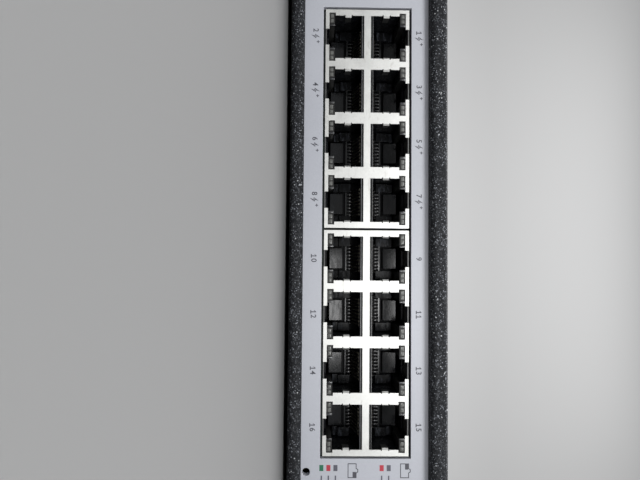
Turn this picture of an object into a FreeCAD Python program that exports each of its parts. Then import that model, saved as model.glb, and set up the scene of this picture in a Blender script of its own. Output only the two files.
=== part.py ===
import FreeCAD, Part
import math
import os

# Sixteen-port power over ethernet switch in a folded steel case, in millimetres.
# X runs along the front to the right, Y from front to rear and Z up.
# The origin lies on the surface under the feet, below the middle of the part.

# Case
CASE_WIDTH = 280.0
CASE_DEPTH = 180.0
CASE_HEIGHT = 43.0
SHEET = 1.0
BEND_RADIUS = 0.6
BASE_LIP = 3.75
COVER_LIP = 4.75
PANEL_RECESS = 3.5
SIDE_FLANGE = 12.0
REAR_FLANGE = 9.0
REAR_CLEARANCE = 0.2
BEND_RELIEF = 1.5
COVER_CLEARANCE = 0.2
COVER_LIFT = 0.4

# Side vents
VENT_COUNT = 14
VENT_PITCH = 7.0
VENT_WIDTH = 2.6
VENT_HEIGHT = 18.0
VENT_RISE = 25.0

# Feet and wall keyholes
FOOT_RADIUS = 6.5
FOOT_HEIGHT = 1.0
FOOT_INSET_X = 21.0
FOOT_INSET_Y = 26.0
KEYHOLE_SPACING = 150.0
KEYHOLE_RADIUS = 3.75
KEYHOLE_SLOT_RADIUS = 2.0
KEYHOLE_SLOT_LENGTH = 8.0
KEYHOLE_INSET = 28.0

# Screws
THREAD_RADIUS = 1.5
THREAD_CLEARANCE = 0.05
HEAD_RADIUS = 2.8
HEAD_HEIGHT = 1.9
COVER_SCREW_LENGTH = 5.0
COVER_SCREW_SPACING = 200.0
COVER_SCREW_DROP = 5.0
HOLE_CLEARANCE = 0.2

# Front panel
PANEL_THICKNESS = 2.0
PANEL_END_GAP = 0.4
PANEL_TOP_GAP = 0.3
RIM_DEPTH = 5.0
RIM_WALL = 1.6
RIM_INSET = 2.0
HOOK_WIDTH = 12.0
HOOK_DEPTH = 2.4
HOOK_SPACING = 180.0
HOOK_GAP = 0.2
CUTOUT_END_GAP = 0.6
CUTOUT_GAP = 0.6
CUTOUT_BEVEL = 0.1
PINHOLE_RADIUS = 1.05
PINHOLE_RISE = 5.15
PINHOLE_OFFSET = 4.1

# Socket blocks
COLUMNS = 4
BLOCK_END_WALL = 0.15
BLOCK_GAP = 0.6
BLOCKS_INSET = 84.0
JACK_INSET = 0.2
SHIELD_SHEET = 0.3
SHIELD_BACK_GAP = 2.3
SHIELD_HEM = 10.0
CENTRE_BAR = 1.9
PORT_WIDTH = 12.1
PORT_POST = 3.14
PORT_HEIGHT = 8.0
WINDOW_FLARE = 0.8
WINDOW_HEIGHT = 1.75
WINDOW_BAND = 1.0
LATCH_WIDTH = 7.3
NOTCH_WIDTH = 4.55
NOTCH_DEPTH = 6.0
FINGER_WIDTH = 1.7
FINGER_RISE = 4.4
FINGER_PROUD = 0.4
FINGER_CREST = 0.4
FINGER_LENGTH = 4.0
FINGER_SHEET = 0.2
HOUSING_DEPTH = 20.0
HOUSING_GAP = 0.05
CAVITY_FLARE = 0.25
CAVITY_DEPTH = 12.0
CAVITY_STEP = 0.5
CARRIER_GAP = 0.1
COMB_MARGIN = 0.5
COMB_RISE = 2.2
COMB_HEIGHT = 2.1
COMB_PROUD = 1.0
STOP_GAP = 0.65
STOP_RISE = 5.0
STOP_DROP = 0.85
STOP_PROUD = 2.0
CONTACTS = 8
CONTACT_PITCH = 1.016
CONTACT_WIDTH = 0.46
CONTACT_SHEET = 0.3
CONTACT_FRONT = 4.5
CONTACT_TIP_RISE = 2.2
CONTACT_TIP_GAP = 0.1
CONTACT_ROOT = 1.0
PIPE_RECESS = 0.1
PIPE_GAP = 0.05
PIPE_DROP = 0.2
PIPE_LEG = 1.5
LED_SIZE = 1.0
LED_GAP = 0.3

# Circuit boards
BOARD_THICKNESS = 1.6
STANDOFF_HEIGHT = 6.9
STANDOFF_FLATS = 5.5
STANDOFF_INSET = 6.0
BOARD_FRONT_GAP = 0.3
BOARD_SIDE_GAP = 7.0
MAIN_SIDE_MARGIN = 12.3
MAIN_REAR_MARGIN = 15.0
SUPPLY_WIDTH = 80.0
SUPPLY_FRONT_MARGIN = 9.0
SUPPLY_REAR_GAP = 1.0
PART_GAP = 3.0

# Parts on the main board
LAN_SIZE = 13.0
LAN_HEIGHT = 6.0
LAN_GAP = 4.0
CHIP_SIZE = 20.0
CHIP_HEIGHT = 1.8
HEATSINK_SIZE = 36.0
HEATSINK_PLATE = 2.5
HEATSINK_HEIGHT = 12.0
FIN_COUNT = 9
FIN_THICKNESS = 1.2
POE_SIZE = 9.0
POE_HEIGHT = 1.0
POE_SPACING = 34.0
POE_COUNT = 2
INDUCTOR_SIZE = 10.0
INDUCTOR_HEIGHT = 4.5
INDUCTOR_COUNT = 3
INDUCTOR_PITCH = 15.0
CAPACITOR_RADIUS = 4.0
CAPACITOR_HEIGHT = 16.0

# Parts on the supply board
INLET_WIDTH = 27.6
INLET_HEIGHT = 20.0
INLET_DEPTH = 24.0
INLET_PROUD = 1.0
INLET_OFFSET = 22.0
INLET_GAP = 0.3
INLET_MOUTH_WIDTH = 24.0
INLET_MOUTH_HEIGHT = 16.4
INLET_MOUTH_DEPTH = 16.5
INLET_MOUTH_CORNER = 4.5
BLADE_WIDTH = 2.0
BLADE_HEIGHT = 4.0
BLADE_LENGTH = 14.0
BLADE_SPACING = 14.0
BLADE_EARTH_RISE = 4.0
FUSE_LENGTH = 9.0
FUSE_WIDTH = 4.0
FUSE_HEIGHT = 8.0
FILTER_WIDTH = 8.0
FILTER_DEPTH = 18.0
FILTER_HEIGHT = 15.0
CHOKE_WIDTH = 22.0
CHOKE_DEPTH = 16.0
CHOKE_HEIGHT = 18.0
CHOKE_LEG = 5.0
RECTIFIER_WIDTH = 18.0
RECTIFIER_DEPTH = 4.0
RECTIFIER_HEIGHT = 14.0
BULK_RADIUS = 10.0
BULK_HEIGHT = 25.0
CORE_WIDTH = 30.0
CORE_DEPTH = 14.0
CORE_HEIGHT = 24.0
CORE_LEG = 5.0
WINDING_THICKNESS = 4.7
WINDING_GAP = 0.3
SINK_LENGTH = 34.0
SINK_THICKNESS = 2.5
SINK_HEIGHT = 22.0
SINK_FOOT = 6.0
DEVICE_WIDTH = 10.0
DEVICE_HEIGHT = 15.0
DEVICE_DEPTH = 4.5
DEVICE_RISE = 4.0
HEADER_WIDTH = 8.0
HEADER_LENGTH = 20.0
HEADER_HEIGHT = 10.0
CABLE_THICKNESS = 1.6
CABLE_WIDTH = 14.0
CABLE_RISE = 14.0
CABLE_BEND = 5.0
FILM_MARGIN = 2.0
FILM_THICKNESS = 0.3

# Lock slot in the rear wall
LOCK_WIDTH = 7.0
LOCK_HEIGHT = 3.2
LOCK_OFFSET = 30.0

# Places that follow from the sizes above
BEND_OUT = BEND_RADIUS + SHEET
FRONT_Y = -(CASE_DEPTH + HEAD_HEIGHT) / 2
REAR_Y = FRONT_Y + CASE_DEPTH
WALL_Y = REAR_Y - SHEET - REAR_CLEARANCE
BASE_Z = FOOT_HEIGHT
FLOOR_Z = BASE_Z + SHEET
TOP_Z = BASE_Z + CASE_HEIGHT
CEILING_Z = TOP_Z - SHEET
COVER_HALF = CASE_WIDTH / 2
BASE_HALF = COVER_HALF - SHEET - COVER_CLEARANCE
PANEL_FRONT_Y = FRONT_Y + PANEL_RECESS
PANEL_BACK_Y = PANEL_FRONT_Y + PANEL_THICKNESS
PANEL_HALF = COVER_HALF - SHEET - PANEL_END_GAP
PANEL_TOP_Z = CEILING_Z - PANEL_TOP_GAP
FLANGE_FRONT_Y = PANEL_BACK_Y + RIM_DEPTH + BEND_RELIEF
FLANGE_REAR_Y = WALL_Y - BEND_OUT - BEND_RELIEF
BOARD_Z = FLOOR_Z + STANDOFF_HEIGHT
BOARD_TOP_Z = BOARD_Z + BOARD_THICKNESS
BOARD_FRONT_Y = PANEL_BACK_Y + BOARD_FRONT_GAP
PORT_PITCH = PORT_WIDTH + PORT_POST
WINDOW_SPAN = PORT_WIDTH + 2 * WINDOW_FLARE
CAVITY_WIDTH = PORT_WIDTH + 2 * CAVITY_FLARE
SHELF_RISE = PORT_HEIGHT + WINDOW_HEIGHT
JACK_HEIGHT = CENTRE_BAR + 2 * (SHELF_RISE + WINDOW_BAND)
BLOCK_WIDTH = COLUMNS * PORT_PITCH + 2 * BLOCK_END_WALL
BLOCKS_X = COVER_HALF - BLOCKS_INSET
BLOCKS_HALF = BLOCK_WIDTH + BLOCK_GAP / 2
SHIELD_FRONT_Y = PANEL_FRONT_Y + JACK_INSET
HOUSING_FRONT_Y = SHIELD_FRONT_Y + SHIELD_SHEET
HOUSING_REAR_Y = HOUSING_FRONT_Y + HOUSING_DEPTH
CARRIER_FRONT_Y = HOUSING_FRONT_Y + CAVITY_DEPTH
PIPE_LEG_Y = HOUSING_REAR_Y + LED_SIZE + 2 * LED_GAP
PIPE_OFFSET = (WINDOW_SPAN + LATCH_WIDTH) / 4
SHIELD_REAR_Y = PIPE_LEG_Y + PIPE_LEG + SHIELD_BACK_GAP + SHIELD_SHEET
PORT_Z = BOARD_TOP_Z + JACK_HEIGHT / 2
BLOCK_CENTRES = (
    BLOCKS_X - (BLOCK_WIDTH + BLOCK_GAP) / 2,
    BLOCKS_X + (BLOCK_WIDTH + BLOCK_GAP) / 2,
)

# The main board lies under the sockets, and its parts follow one another towards the rear
MAIN_RIGHT = BASE_HALF - BOARD_SIDE_GAP
MAIN_LEFT = BLOCKS_X - BLOCKS_HALF - MAIN_SIDE_MARGIN
LAN_Y = SHIELD_REAR_Y + LAN_GAP + LAN_SIZE / 2
POE_Y = LAN_Y + LAN_SIZE / 2 + PART_GAP + POE_SIZE / 2
CHIP_Y = POE_Y + POE_SIZE / 2 + PART_GAP + HEATSINK_SIZE / 2
INDUCTOR_Y = CHIP_Y + HEATSINK_SIZE / 2 + PART_GAP + INDUCTOR_SIZE / 2
MAIN_REAR_Y = INDUCTOR_Y + INDUCTOR_SIZE / 2 + MAIN_REAR_MARGIN

# The supply board stands at the rear wall, and its parts follow one another towards the front
SUPPLY_LEFT = -BASE_HALF + BOARD_SIDE_GAP
SUPPLY_RIGHT = SUPPLY_LEFT + SUPPLY_WIDTH
SUPPLY_REAR_Y = WALL_Y - SHEET - SUPPLY_REAR_GAP
INLET_X = SUPPLY_LEFT + INLET_OFFSET
INLET_Z = BOARD_TOP_Z + INLET_HEIGHT / 2
INLET_REAR_Y = WALL_Y + INLET_PROUD
INLET_FRONT_Y = INLET_REAR_Y - INLET_DEPTH
FUSE_X = INLET_X + INLET_WIDTH / 2 + PART_GAP + FUSE_LENGTH / 2
FILTER_X = FUSE_X + FUSE_LENGTH / 2 + PART_GAP + FILTER_WIDTH / 2
CHOKE_Y = INLET_FRONT_Y - PART_GAP - CHOKE_DEPTH / 2
CHOKE_RIGHT = INLET_X + CHOKE_WIDTH / 2
RECTIFIER_Y = INLET_FRONT_Y - PART_GAP - RECTIFIER_DEPTH / 2
BULK_Y = RECTIFIER_Y - RECTIFIER_DEPTH / 2 - PART_GAP - BULK_RADIUS
SINK_REAR_Y = min(CHOKE_Y - CHOKE_DEPTH / 2, BULK_Y - BULK_RADIUS) - PART_GAP
SINK_FRONT_Y = SINK_REAR_Y - SINK_LENGTH
TRANSFORMER_X = SUPPLY_LEFT + SUPPLY_WIDTH / 2
TRANSFORMER_Y = (SINK_REAR_Y + SINK_FRONT_Y) / 2
HEADER_Y = SINK_FRONT_Y - PART_GAP - HEADER_LENGTH / 2
HEADER_FRONT_Y = HEADER_Y - HEADER_LENGTH / 2
SUPPLY_FRONT_Y = HEADER_FRONT_Y - SUPPLY_FRONT_MARGIN

vector = FreeCAD.Vector


def span(centre, size):
    return (centre - size / 2, centre + size / 2)


def box(x, y, z):
    """Block between the low and high ends of three spans."""
    return Part.makeBox(x[1] - x[0], y[1] - y[0], z[1] - z[0], vector(x[0], y[0], z[0]))


def rod(radius, x, y, z, axis, length):
    return Part.makeCylinder(radius, length, vector(x, y, z), vector(*axis))


def rounded_wire(corners, place):
    """Closed wire through (a, b, radius) corners, with arcs at the corners that have a radius."""
    ends = []
    count = len(corners)
    for index, (a, b, radius) in enumerate(corners):
        here = vector(a, b, 0)
        before = vector(*corners[index - 1][:2], 0)
        after = vector(*corners[(index + 1) % count][:2], 0)
        back = (before - here).normalize()
        ahead = (after - here).normalize()
        if radius == 0:
            ends.append((here, None, here))
            continue
        half_angle = back.getAngle(ahead) / 2
        reach = radius / math.tan(half_angle)
        inward = (back + ahead).normalize()
        middle = here + inward * (radius / math.sin(half_angle) - radius)
        ends.append((here + back * reach, middle, here + ahead * reach))
    edges = []
    for index, (start, middle, stop) in enumerate(ends):
        if middle is not None:
            edges.append(Part.Arc(place(start), place(middle), place(stop)).toShape())
        following = ends[(index + 1) % count][0]
        if (following - stop).Length > 1e-6:
            edges.append(Part.LineSegment(place(stop), place(following)).toShape())
    return Part.Wire(edges)


def extrude_along_x(corners, x):
    wire = rounded_wire(corners, lambda p: vector(x[0], p.x, p.y))
    return Part.Face(wire).extrude(vector(x[1] - x[0], 0, 0))


def extrude_along_y(corners, y):
    wire = rounded_wire(corners, lambda p: vector(p.x, y[0], p.y))
    return Part.Face(wire).extrude(vector(0, y[1] - y[0], 0))


def extrude_along_z(corners, z):
    wire = rounded_wire(corners, lambda p: vector(p.x, p.y, z[0]))
    return Part.Face(wire).extrude(vector(0, 0, z[1] - z[0]))


def joined(first, others):
    return first.fuse(others).removeSplitter()


def column_centres(block_x):
    return [block_x + (index - (COLUMNS - 1) / 2) * PORT_PITCH for index in range(COLUMNS)]


def row_span(row, low, high):
    """Height span in the upper (1) or lower (-1) row, measured from the centre bar's edge."""
    ends = [PORT_Z + row * (CENTRE_BAR / 2 + rise) for rise in (low, high)]
    return (min(ends), max(ends))


def cover_screw_places():
    z = TOP_Z - COVER_SCREW_DROP
    return [(-COVER_SCREW_SPACING / 2, z), (COVER_SCREW_SPACING / 2, z)]


def standoff_places():
    main_front = PANEL_BACK_Y + RIM_DEPTH + PART_GAP + STANDOFF_FLATS / 2
    main_rear = MAIN_REAR_Y - STANDOFF_INSET
    supply_front = SUPPLY_FRONT_Y + STANDOFF_INSET
    supply_rear = SUPPLY_REAR_Y - STANDOFF_INSET
    return [
        (MAIN_LEFT + STANDOFF_INSET, main_front),
        (MAIN_RIGHT - STANDOFF_INSET, main_front),
        (MAIN_LEFT + STANDOFF_INSET, main_rear),
        (MAIN_RIGHT - STANDOFF_INSET, main_rear),
        (SUPPLY_LEFT + STANDOFF_INSET, supply_front),
        (SUPPLY_RIGHT - STANDOFF_INSET, supply_front),
        (SUPPLY_RIGHT - STANDOFF_INSET, supply_rear),
    ]


def keyhole(x):
    """Round entry with a narrow slot towards the rear, through the floor."""
    y = FRONT_Y + KEYHOLE_INSET
    entry = rod(KEYHOLE_RADIUS, x, y, BASE_Z, (0, 0, 1), SHEET)
    slot = box(span(x, 2 * KEYHOLE_SLOT_RADIUS), (y, y + KEYHOLE_SLOT_LENGTH), (BASE_Z, FLOOR_Z))
    end = rod(KEYHOLE_SLOT_RADIUS, x, y + KEYHOLE_SLOT_LENGTH, BASE_Z, (0, 0, 1), SHEET)
    return joined(entry, [slot, end])


def base_pan():
    folded = extrude_along_x(
        [
            (PANEL_FRONT_Y, BASE_Z + BASE_LIP, 0),
            (FRONT_Y, BASE_Z + BASE_LIP, BEND_OUT),
            (FRONT_Y, BASE_Z, BEND_OUT),
            (WALL_Y, BASE_Z, BEND_OUT),
            (WALL_Y, CEILING_Z - BEND_RADIUS, 0),
            (WALL_Y - SHEET, CEILING_Z - BEND_RADIUS, 0),
            (WALL_Y - SHEET, FLOOR_Z, BEND_RADIUS),
            (FRONT_Y + SHEET, FLOOR_Z, BEND_RADIUS),
            (FRONT_Y + SHEET, BASE_Z + BASE_LIP - SHEET, BEND_RADIUS),
            (PANEL_FRONT_Y, BASE_Z + BASE_LIP - SHEET, 0),
        ],
        (-BASE_HALF, BASE_HALF),
    )
    relief_y = (FLANGE_FRONT_Y - BEND_RELIEF, FLANGE_REAR_Y + BEND_RELIEF)
    reliefs = [
        box((-BASE_HALF, -BASE_HALF + BEND_OUT), relief_y, (BASE_Z, FLOOR_Z)),
        box((BASE_HALF - BEND_OUT, BASE_HALF), relief_y, (BASE_Z, FLOOR_Z)),
    ]
    flange_z = BASE_Z + SIDE_FLANGE
    flanges = extrude_along_y(
        [
            (-BASE_HALF, flange_z, 0),
            (-BASE_HALF, BASE_Z, BEND_OUT),
            (BASE_HALF, BASE_Z, BEND_OUT),
            (BASE_HALF, flange_z, 0),
            (BASE_HALF - SHEET, flange_z, 0),
            (BASE_HALF - SHEET, FLOOR_Z, BEND_RADIUS),
            (-BASE_HALF + SHEET, FLOOR_Z, BEND_RADIUS),
            (-BASE_HALF + SHEET, flange_z, 0),
        ],
        (FLANGE_FRONT_Y, FLANGE_REAR_Y),
    )
    pan = joined(folded.cut(reliefs), [flanges])
    cuts = [keyhole(-KEYHOLE_SPACING / 2), keyhole(KEYHOLE_SPACING / 2)]
    wall_y = (WALL_Y - SHEET, WALL_Y)
    for x, z in cover_screw_places():
        cuts.append(rod(THREAD_RADIUS + THREAD_CLEARANCE, x, wall_y[0], z, (0, 1, 0), SHEET))
    for x in (-HOOK_SPACING / 2, HOOK_SPACING / 2):
        window_y = (PANEL_BACK_Y - HOOK_GAP, PANEL_BACK_Y + HOOK_DEPTH + HOOK_GAP)
        cuts.append(box(span(x, HOOK_WIDTH + 2 * HOOK_GAP), window_y, (BASE_Z, FLOOR_Z)))
    inlet_opening_x = span(INLET_X, INLET_WIDTH + 2 * INLET_GAP)
    inlet_opening_z = span(INLET_Z, INLET_HEIGHT + 2 * INLET_GAP)
    cuts.append(box(inlet_opening_x, wall_y, inlet_opening_z))
    lock_x = BASE_HALF - LOCK_OFFSET
    cuts.append(box(span(lock_x, LOCK_WIDTH), wall_y, span(PORT_Z, LOCK_HEIGHT)))
    return pan.cut(cuts)


def top_cover():
    low_z = BASE_Z + COVER_LIFT
    wrap = extrude_along_y(
        [
            (-COVER_HALF, low_z, 0),
            (-COVER_HALF, TOP_Z, BEND_OUT),
            (COVER_HALF, TOP_Z, BEND_OUT),
            (COVER_HALF, low_z, 0),
            (COVER_HALF - SHEET, low_z, 0),
            (COVER_HALF - SHEET, CEILING_Z, BEND_RADIUS),
            (-COVER_HALF + SHEET, CEILING_Z, BEND_RADIUS),
            (-COVER_HALF + SHEET, low_z, 0),
        ],
        (FRONT_Y + BEND_OUT, REAR_Y - BEND_OUT),
    )
    lip_z = TOP_Z - COVER_LIP
    lip = extrude_along_x(
        [
            (FRONT_Y + 2 * BEND_OUT, TOP_Z, 0),
            (FRONT_Y, TOP_Z, BEND_OUT),
            (FRONT_Y, lip_z, BEND_OUT),
            (PANEL_FRONT_Y, lip_z, 0),
            (PANEL_FRONT_Y, lip_z + SHEET, 0),
            (FRONT_Y + SHEET, lip_z + SHEET, BEND_RADIUS),
            (FRONT_Y + SHEET, CEILING_Z, BEND_RADIUS),
            (FRONT_Y + 2 * BEND_OUT, CEILING_Z, 0),
        ],
        (-COVER_HALF + BEND_OUT, COVER_HALF - BEND_OUT),
    )
    rear_flange = extrude_along_x(
        [
            (REAR_Y - 2 * BEND_OUT, TOP_Z, 0),
            (REAR_Y, TOP_Z, BEND_OUT),
            (REAR_Y, TOP_Z - REAR_FLANGE, 0),
            (REAR_Y - SHEET, TOP_Z - REAR_FLANGE, 0),
            (REAR_Y - SHEET, CEILING_Z, BEND_RADIUS),
            (REAR_Y - 2 * BEND_OUT, CEILING_Z, 0),
        ],
        (-COVER_HALF + BEND_OUT, COVER_HALF - BEND_OUT),
    )
    side_z = (low_z, TOP_Z - BEND_OUT)
    sides = [
        box((-COVER_HALF, -COVER_HALF + SHEET), (FRONT_Y, REAR_Y), side_z),
        box((COVER_HALF - SHEET, COVER_HALF), (FRONT_Y, REAR_Y), side_z),
    ]
    cover = joined(wrap, [lip, rear_flange] + sides)
    cuts = []
    for index in range(VENT_COUNT):
        y = (index - (VENT_COUNT - 1) / 2) * VENT_PITCH
        vent_z = span(BASE_Z + VENT_RISE, VENT_HEIGHT)
        cuts.append(box((-COVER_HALF, COVER_HALF), span(y, VENT_WIDTH), vent_z))
    for x, z in cover_screw_places():
        cuts.append(rod(THREAD_RADIUS + HOLE_CLEARANCE, x, REAR_Y - SHEET, z, (0, 1, 0), SHEET))
    return cover.cut(cuts)


def front_panel():
    plate_z = (FLOOR_Z, PANEL_TOP_Z)
    plate = box((-PANEL_HALF, PANEL_HALF), (PANEL_FRONT_Y, PANEL_BACK_Y), plate_z)
    rim_half = PANEL_HALF - RIM_INSET
    rim_y = (PANEL_BACK_Y, PANEL_BACK_Y + RIM_DEPTH)
    rim = box((-rim_half, rim_half), rim_y, plate_z)
    rim_inside = box(
        (-rim_half + RIM_WALL, rim_half - RIM_WALL),
        rim_y,
        (FLOOR_Z + RIM_WALL, PANEL_TOP_Z - RIM_WALL),
    )
    hooks = []
    for x in (-HOOK_SPACING / 2, HOOK_SPACING / 2):
        hook_y = (PANEL_BACK_Y, PANEL_BACK_Y + HOOK_DEPTH)
        hooks.append(box(span(x, HOOK_WIDTH), hook_y, (BASE_Z + HOOK_GAP, FLOOR_Z)))
    panel = joined(plate, [rim.cut(rim_inside)] + hooks)
    cut_half = BLOCKS_HALF + CUTOUT_END_GAP
    cut_z = (BOARD_TOP_Z - CUTOUT_GAP, BOARD_TOP_Z + JACK_HEIGHT + CUTOUT_GAP)
    cutout = box(span(BLOCKS_X, 2 * cut_half), (PANEL_FRONT_Y, PANEL_BACK_Y), cut_z)
    mouth = Part.makeLoft(
        [
            cutout_wire(PANEL_FRONT_Y, cut_half + CUTOUT_BEVEL, cut_z, CUTOUT_BEVEL),
            cutout_wire(PANEL_FRONT_Y + CUTOUT_BEVEL, cut_half, cut_z, 0),
        ],
        True,
    )
    pinhole_x = BLOCKS_X + BLOCKS_HALF + PINHOLE_OFFSET
    pinhole_z = BASE_Z + PINHOLE_RISE
    pinhole = rod(PINHOLE_RADIUS, pinhole_x, PANEL_FRONT_Y, pinhole_z, (0, 1, 0), PANEL_THICKNESS)
    return panel.cut([cutout, mouth, pinhole])


def cutout_wire(y, half_width, z, spread):
    low, high = z[0] - spread, z[1] + spread
    left, right = BLOCKS_X - half_width, BLOCKS_X + half_width
    corners = [(left, low), (right, low), (right, high), (left, high), (left, low)]
    return Part.makePolygon([vector(a, y, b) for a, b in corners])


def port_outline(x, row):
    """Front cut of one socket: opening, lamp windows beside the latch, and the tab notch to the edge."""
    edge = (JACK_HEIGHT - CENTRE_BAR) / 2
    half_port = PORT_WIDTH / 2
    half_span = WINDOW_SPAN / 2
    half_notch = NOTCH_WIDTH / 2
    right = [(half_port, 0), (half_port, PORT_HEIGHT), (half_span, PORT_HEIGHT), (half_span, SHELF_RISE)]
    right += [(half_notch, SHELF_RISE), (half_notch, edge)]
    around = right + [(-a, u) for a, u in reversed(right)]
    return [(x + a, PORT_Z + row * (CENTRE_BAR / 2 + u), 0) for a, u in around]


def spring_finger(x, side, row):
    """Tongue at one side of a socket, bent in to touch the plug's shield."""
    edge = PORT_WIDTH / 2
    y = SHIELD_FRONT_Y
    points = [
        (edge, 0),
        (edge - FINGER_PROUD, FINGER_CREST),
        (edge, FINGER_LENGTH),
        (edge - FINGER_PROUD + FINGER_SHEET, FINGER_CREST),
        (edge + FINGER_SHEET, 0),
    ]
    corners = [(x + side * a, y + depth, 0) for a, depth in points]
    half = FINGER_WIDTH / 2
    return extrude_along_z(corners, row_span(row, FINGER_RISE - half, FINGER_RISE + half))


def jack_shield(block_x):
    """Plated sheet box round one block of sockets, open below behind its front hem."""
    inner_width = BLOCK_WIDTH - 2 * SHIELD_SHEET
    outer_z = (BOARD_TOP_Z, BOARD_TOP_Z + JACK_HEIGHT)
    inner_z = (BOARD_TOP_Z + SHIELD_SHEET, BOARD_TOP_Z + JACK_HEIGHT - SHIELD_SHEET)
    inner_y = (HOUSING_FRONT_Y, SHIELD_REAR_Y - SHIELD_SHEET)
    shell = box(span(block_x, BLOCK_WIDTH), (SHIELD_FRONT_Y, SHIELD_REAR_Y), outer_z)
    cuts = [box(span(block_x, inner_width), inner_y, inner_z)]
    open_y = (HOUSING_FRONT_Y + SHIELD_HEM, inner_y[1])
    cuts.append(box(span(block_x, inner_width), open_y, (outer_z[0], inner_z[0])))
    fingers = []
    for x in column_centres(block_x):
        for row in (1, -1):
            cuts.append(extrude_along_y(port_outline(x, row), (SHIELD_FRONT_Y, HOUSING_FRONT_Y)))
            for side in (1, -1):
                fingers.append(spring_finger(x, side, row))
    return joined(shell.cut(cuts), fingers)


def jack_housing(block_x):
    """Moulded grid of socket walls, open behind for the contact carriers."""
    width = BLOCK_WIDTH - 2 * SHIELD_SHEET - 2 * HOUSING_GAP
    low = BOARD_TOP_Z + SHIELD_SHEET
    high = BOARD_TOP_Z + JACK_HEIGHT - SHIELD_SHEET - HOUSING_GAP
    body = box(span(block_x, width), (HOUSING_FRONT_Y, HOUSING_REAR_Y), (low, high))
    foot_y = (HOUSING_FRONT_Y + SHIELD_HEM + HOUSING_GAP, HOUSING_REAR_Y)
    foot = box(span(block_x, width), foot_y, (BOARD_TOP_Z, low))
    cuts = []
    for x in column_centres(block_x):
        pocket_z = span(PORT_Z, CENTRE_BAR + 2 * PORT_HEIGHT)
        cuts.append(box(span(x, CAVITY_WIDTH), (CARRIER_FRONT_Y, HOUSING_REAR_Y), pocket_z))
        for row in (1, -1):
            cavity_y = (HOUSING_FRONT_Y, CARRIER_FRONT_Y)
            cuts.append(box(span(x, CAVITY_WIDTH), cavity_y, row_span(row, CAVITY_STEP, PORT_HEIGHT)))
            ledge_z = row_span(row, PORT_HEIGHT, SHELF_RISE)
            cuts.append(box(span(x, WINDOW_SPAN), (HOUSING_FRONT_Y, HOUSING_REAR_Y), ledge_z))
            notch_y = (HOUSING_FRONT_Y, HOUSING_FRONT_Y + NOTCH_DEPTH)
            notch_z = row_span(row, PORT_HEIGHT, JACK_HEIGHT / 2)
            cuts.append(box(span(x, NOTCH_WIDTH), notch_y, notch_z))
    return joined(body, [foot]).cut(cuts)


def contact_carrier(x):
    """Insert that closes two sockets from behind, each with a rib for contact tips and a plug stop."""
    height = CENTRE_BAR + 2 * PORT_HEIGHT - 2 * CARRIER_GAP
    width = CAVITY_WIDTH - 2 * CARRIER_GAP
    block = box(span(x, width), (CARRIER_FRONT_Y, HOUSING_REAR_Y), span(PORT_Z, height))
    comb_x = span(x, CONTACTS * CONTACT_PITCH + 2 * COMB_MARGIN)
    comb_y = (CARRIER_FRONT_Y - COMB_PROUD, CARRIER_FRONT_Y)
    stop_x = span(x, LATCH_WIDTH - 2 * STOP_GAP)
    stop_y = (CARRIER_FRONT_Y - STOP_PROUD, HOUSING_REAR_Y)
    ribs = []
    for row in (1, -1):
        ribs.append(box(comb_x, comb_y, row_span(row, COMB_RISE, COMB_RISE + COMB_HEIGHT)))
        ribs.append(box(stop_x, stop_y, row_span(row, STOP_RISE, SHELF_RISE - STOP_DROP)))
    return joined(block, ribs)


def contact_x(column_x, index):
    return column_x + (index - (CONTACTS - 1) / 2) * CONTACT_PITCH


def port_contacts(x):
    """Springs of a column, each rising from the centre wall to the rib of its carrier."""
    front = HOUSING_FRONT_Y + CONTACT_FRONT
    tip = CARRIER_FRONT_Y - COMB_PROUD - CONTACT_TIP_GAP
    points = [
        (front, CAVITY_STEP),
        (front + CONTACT_ROOT, CAVITY_STEP),
        (tip, CONTACT_TIP_RISE),
        (tip, CONTACT_TIP_RISE + CONTACT_SHEET),
    ]
    springs = []
    for row in (1, -1):
        corners = [(y, PORT_Z + row * (CENTRE_BAR / 2 + rise), 0) for y, rise in points]
        for index in range(CONTACTS):
            springs.append(extrude_along_x(corners, span(contact_x(x, index), CONTACT_WIDTH)))
    return Part.makeCompound(springs)


def light_pipes(block_x):
    """Clear bars from the lamp windows: upper ones turn down behind the housing, lower ones end there."""
    front = SHIELD_FRONT_Y + PIPE_RECESS
    width = (WINDOW_SPAN - LATCH_WIDTH) / 2 - 2 * PIPE_GAP
    upper = row_span(1, PORT_HEIGHT + PIPE_DROP, SHELF_RISE)
    lower = row_span(-1, PORT_HEIGHT + PIPE_DROP, SHELF_RISE)
    leg_foot = BOARD_TOP_Z + LED_SIZE + LED_GAP
    upper_corners = [
        (front, upper[0], 0),
        (PIPE_LEG_Y, upper[0], 0),
        (PIPE_LEG_Y, leg_foot, 0),
        (PIPE_LEG_Y + PIPE_LEG, leg_foot, 0),
        (PIPE_LEG_Y + PIPE_LEG, upper[1], 0),
        (front, upper[1], 0),
    ]
    pipes = []
    for x in column_centres(block_x):
        for side in (-1, 1):
            pipe_x = span(x + side * PIPE_OFFSET, width)
            pipes.append(extrude_along_x(upper_corners, pipe_x))
            pipes.append(box(pipe_x, (front, HOUSING_REAR_Y), lower))
    return Part.makeCompound(pipes)


def indicator_leds():
    """Lamps on the main board at the end of each light pipe."""
    front_y = HOUSING_REAR_Y + LED_GAP
    rear_y = PIPE_LEG_Y
    z = (BOARD_TOP_Z, BOARD_TOP_Z + LED_SIZE)
    lamps = []
    for block_x in BLOCK_CENTRES:
        for x in column_centres(block_x):
            for side in (-1, 1):
                lamp_x = span(x + side * PIPE_OFFSET, LED_SIZE)
                lamps.append(box(lamp_x, (front_y, front_y + LED_SIZE), z))
                lamps.append(box(lamp_x, (rear_y, rear_y + LED_SIZE), z))
    return Part.makeCompound(lamps)


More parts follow.
